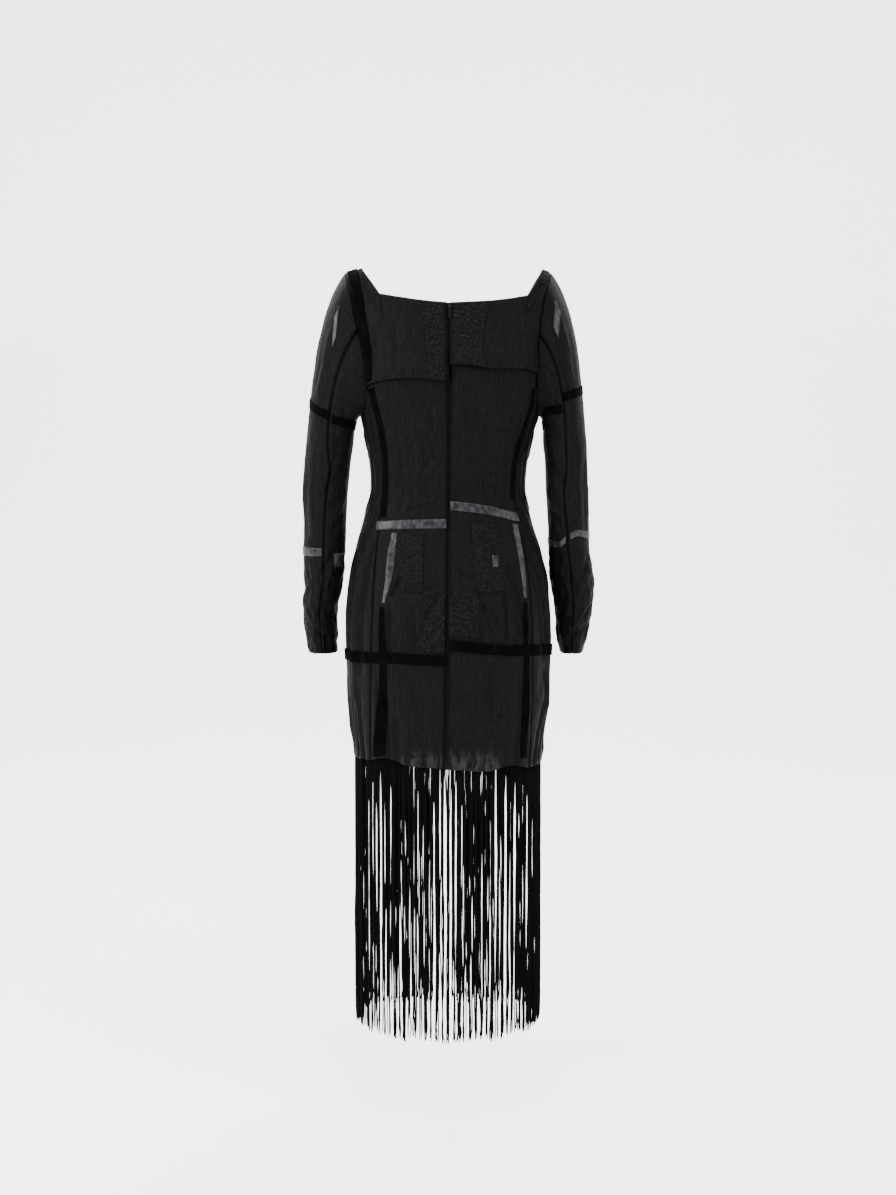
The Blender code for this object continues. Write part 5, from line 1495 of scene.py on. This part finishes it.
def lay_yarns(name, finish, yarns, sides, rings):
    """Many strands as one piece: each yarn gives its place and its radius at a share of its length."""
    pattern = yarn_pattern(sides, rings)
    mesh = bmesh.new()
    for line, radius in yarns:
        first = len(mesh.verts)
        mesh.from_mesh(pattern)
        mesh.verts.ensure_lookup_table()
        for vertex in mesh.verts[first:]:
            share = round(vertex.co.z * rings) / rings
            step = 0.5 / rings
            along = (line(min(share + step, 1.0)) - line(max(share - step, 0.0))).normalized()
            aside = along.cross(Vector((0.31, 0.95, 0.02))).normalized()
            beside = along.cross(aside)
            vertex.co = line(share) + (aside * vertex.co.x + beside * vertex.co.y) * radius(share)
    data = bpy.data.meshes.new(name)
    mesh.to_mesh(data)
    mesh.free()
    bpy.data.meshes.remove(pattern)
    data.materials.append(finish)
    data.shade_smooth()
    piece = bpy.data.objects.new(name, data)
    bpy.context.scene.collection.objects.link(piece)
    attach(piece, "dress")
    return piece


yarn, yarn_tree, yarn_shader = new_finish("yarn", 0.85, specular=0.02)
twist = grain(yarn_tree, 700.0, (1.0, 1.0, 0.6), detail=3.0)
yarn_tree.links.new(
    shades(yarn_tree, twist, (0.0004, 0.0004, 0.0005), (0.0024, 0.0024, 0.0026), 0.3, 0.7),
    yarn_shader.inputs["Base Color"],
)
relief(yarn_tree, yarn_shader, ((twist, 0.0008, 0.8),))


def hem_line(side):
    """The hem of one half as a list of angles a yarn's pitch apart."""
    low_at = edge_at(HEM, side)
    angles = []
    angle = side * 0.0006
    while abs(angle) < math.pi - 0.006:
        angles.append(angle)
        here = torso_form(angle, low_at(angle))
        there = torso_form(angle + side * 0.01, low_at(angle))
        angle += side * 0.01 * YARN_PITCH / (there - here).length
    return angles


for side, word in ((-1, "left"), (1, "right")):
    low_at = edge_at(HEM, side)

    def tape(s, t, out, side=side, low_at=low_at):
        angle = side * (0.006 + s * (math.pi - 0.014))
        return torso_point(angle, low_at(angle) + 0.0012 + t * TAPE_HIGH, out)

    tape_piece = shell(f"fringe_tape_{word}", yarn, tape, 200, 4, thick=0.0008, out=-CLOTH_THICK - 0.0010)
    yarns = []
    for number, angle in enumerate(hem_line(side)):
        height = low_at(angle)
        root = torso_point(angle, height, -CLOTH_THICK - 0.0024)
        outwards = Vector((root.x, root.y, 0)).normalized()
        beside = Vector((-outwards.y, outwards.x, 0))
        nearest = round(number * YARN_PITCH / GROUP_PITCH) * GROUP_PITCH - number * YARN_PITCH
        pull = nearest * GROUP_PULL * (1 + 0.5 * scatter(number * 3)) * side
        end = YARN_END + YARN_UNEVEN * scatter(7 * number + side) + 0.004 * scatter(number * 13)
        end += YARN_SIDE_RISE * math.sin(angle) ** 2
        seed = number * 1.7 + side * 400
        thin = YARN_RADIUS * (1 + 0.22 * scatter(number * 5))

        def line(share, root=root, end=end, outwards=outwards, beside=beside, seed=seed, pull=pull):
            z = root.z + 0.006 + share * (end - root.z - 0.006)
            drop = root.z - z
            loose = ease(drop / 0.30)
            sway = noise.noise(Vector((seed, drop * 5.0, 0.0))) * SWAY * loose
            kink = noise.noise(Vector((seed, drop * 26.0, 7.0))) * KINK * ease(drop / 0.04)
            curl = noise.noise(Vector((seed, drop * 60.0, 3.0))) * CURL * ease((share - 0.90) / 0.1)
            swing = noise.noise(Vector((seed, drop * 4.0, 9.0))) * SWAY * 0.8 * loose
            gather = pull * ease(drop / 0.10)
            hung = Vector((root.x, root.y, z))
            return hung + beside * (gather + sway + kink + curl) + outwards * (0.0010 + swing + kink)

        def radius(share, thin=thin):
            return thin * (1.0 - 0.35 * ease((share - 0.985) / 0.015))

        yarns.append((line, radius))
    piece = lay_yarns(f"fringe_yarn_{word}", yarn, yarns, YARN_SIDES, YARN_RINGS)
    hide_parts(f"fringe_{word}")

# The yoke's lower edge is left raw, and short threads fray from it. A thick dark cord under that edge is its
# frayed roll and a painted shadow beneath the lifted yoke. The neckline is turned and finished with a fine
# dark brown-black rolled edge.
FRAY_COUNT = 190
FRAY_LONG = 0.0042
EDGE_RADIUS = 0.0009

for side, word in ((-1, "left"), (1, "right")):
    point = panels["yoke", side][1]
    yarns = []
    for number in range(FRAY_COUNT):
        share = min(max((number + 0.5 + 0.4 * scatter(number * 3)) / FRAY_COUNT, 0.004), 0.996)
        start = point(share, 0.004, -0.0006)
        length = FRAY_LONG * (0.35 + 0.65 * abs(scatter(number * 11 + side)))
        lean = Vector((0.7 * scatter(number * 5), -0.35 - 0.35 * scatter(number * 7), -1.0)).normalized()
        bend = Vector((scatter(number * 13), 0.4 * scatter(number * 17), 0.0)) * length * 0.4

        def line(share, start=start, lean=lean, length=length, bend=bend):
            return start + lean * (length * share - 0.0006) + bend * share * share

        def radius(share):
            return 0.00022 * (1.0 - 0.6 * share)

        yarns.append((line, radius))

    # Painted shadow: a thick dark cord just under the raw edge, for its frayed roll and the shade beneath the
    # lifted yoke.
    def edge_shadow_cord(share, point=point):
        wave = 0.0004 * noise.noise(Vector((share * 60, 2.0, 0.0)))
        return point(0.002 + share * 0.996, 0.004, -0.0008) + Vector((0, 0, wave - 0.0006))

    yarns.append((edge_shadow_cord, lambda share: 0.0011))
    piece = lay_yarns(f"yoke_fray_and_shadow_cord_{word}", yarn, yarns, 3, 3)

rolled, rolled_tree, rolled_shader = new_finish("rolled_edge", 0.8, specular=0.3)
stitch = grain(rolled_tree, 600.0, detail=2.0)
rolled_tree.links.new(
    shades(rolled_tree, stitch, (0.0050, 0.0034, 0.0028), (0.0150, 0.0096, 0.0076)),
    rolled_shader.inputs["Base Color"],
)
relief(rolled_tree, rolled_shader, ((stitch, 0.0006, 0.6),))
neck_lines = [
    ("yoke_neck_edge_left", panels["yoke", -1][1], 60),
    ("yoke_neck_edge_right", panels["yoke", 1][1], 60),
    ("front_neck_edge", panels["front_bodice"][1], 110),
]
for name, point, rings in neck_lines:

    def line(share, point=point):
        return point(0.003 + 0.994 * share, 1.0, -CLOTH_THICK / 2)

    piece = lay_yarns(name, rolled, [(line, lambda share: EDGE_RADIUS)], 8, rings)

# The zip runs down the centre back under the seam. Only its small metal slider and the plain
# pull tab show, just below the notch in the neckline; the tab swings on the slider's pin.
metal_finish, metal_tree, metal_shader = new_finish("zip_metal", 0.45, metallic=1.0)
rub = grain(metal_tree, 900.0, detail=3.0)
metal_tree.links.new(
    shades(metal_tree, rub, (0.006, 0.006, 0.006), (0.018, 0.018, 0.018)),
    metal_shader.inputs["Base Color"],
)
relief(metal_tree, metal_shader, ((rub, 0.0001, 0.3),))
for node_name in ("zip_slider", "zip_pull_tab"):
    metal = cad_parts[node_name]
    metal.data.materials.clear()
    metal.data.materials.append(metal_finish)

# Each panel was cut flat before it was sewn: its widest and longest measures and the area of the
# cut, what it hangs from, and the ribbons, patches, edges and yarns that are stitched to it.
CUTS = {
    # panel: flat width, flat length, area of the cut, what it hangs from
    "back_yoke_cloth_left": (0.226, 0.220, 0.0213, "front_bodice_cloth"),
    "back_yoke_cloth_right": (0.223, 0.196, 0.0173, "front_bodice_cloth"),
    "back_bodice_cloth_left": (0.138, 0.241, 0.0285, "back_yoke_cloth_left"),
    "back_bodice_cloth_right": (0.151, 0.244, 0.0306, "back_yoke_cloth_right"),
    "back_skirt_cloth_left": (0.129, 0.388, 0.0472, "back_bodice_cloth_left"),
    "back_skirt_cloth_right": (0.149, 0.419, 0.0572, "back_bodice_cloth_right"),
    "side_panel_cloth_left": (0.212, 0.600, 0.0954, "sleeve_under_cloth_left"),
    "side_panel_cloth_right": (0.195, 0.615, 0.0909, "sleeve_under_cloth_right"),
    "front_bodice_cloth": (0.466, 0.437, 0.0916, "back_yoke_cloth_left"),
    "front_skirt_cloth": (0.258, 0.388, 0.0966, "front_bodice_cloth"),
    "sleeve_top_cloth_left": (0.318, 0.622, 0.0890, "back_yoke_cloth_left"),
    "sleeve_top_cloth_right": (0.320, 0.622, 0.0872, "back_yoke_cloth_right"),
    "sleeve_under_cloth_left": (0.270, 0.530, 0.0450, "sleeve_top_cloth_left"),
    "sleeve_under_cloth_right": (0.250, 0.522, 0.0418, "sleeve_top_cloth_right"),
}
ON_BOTH_SIDES = {
    # panel of either side: what is stitched on it, also one on each side
    "back_yoke_cloth": ("yoke_lace_patch", "shoulder_lace_patch", "yoke_fray_and_shadow_cord", "yoke_neck_edge"),
    "back_bodice_cloth": ("bodice_velvet_ribbon", "waist_satin_ribbon"),
    "back_skirt_cloth": (
        "skirt_velvet_ribbon",
        "hip_velvet_ribbon",
        "hip_satin_ribbon",
        "fringe_tape",
        "fringe_yarn",
    ),
    "side_panel_cloth": ("back_side_turning", "front_side_turning"),
    "sleeve_top_cloth": ("sleeve_velvet_ribbon_top", "armhole_turning", "sleeve_turning"),
    "sleeve_under_cloth": ("sleeve_velvet_ribbon_under",),
}
ON_ONE_PANEL = {
    "back_yoke_cloth_left": ("armhole_velvet_ribbon_left",),
    "back_bodice_cloth_left": ("zip_tape",),
    "back_skirt_cloth_left": ("hip_lace_left_upper_patch", "hip_lace_left_lower_patch"),
    "back_skirt_cloth_right": (
        "hip_satin_tab_ribbon_right",
        "hip_lace_right_upper_patch",
        "hip_lace_right_lower_patch",
    ),
    "front_bodice_cloth": ("front_neck_edge",),
    "sleeve_top_cloth_left": ("sleeve_satin_left_ribbon", "sleeve_head_satin_left_ribbon"),
    "sleeve_top_cloth_right": ("sleeve_satin_top_right_ribbon", "sleeve_head_satin_right_ribbon"),
    "sleeve_under_cloth_left": ("sleeve_satin_patch_left_ribbon",),
    "sleeve_under_cloth_right": ("sleeve_satin_under_right_ribbon",),
}
for name, (width, length, area, hangs_from) in CUTS.items():
    either, _, word = name.rpartition("_")
    stitched = [f"{other}_{word}" for other in ON_BOTH_SIDES.get(either, ())]
    stitched += ON_ONE_PANEL.get(name, ())
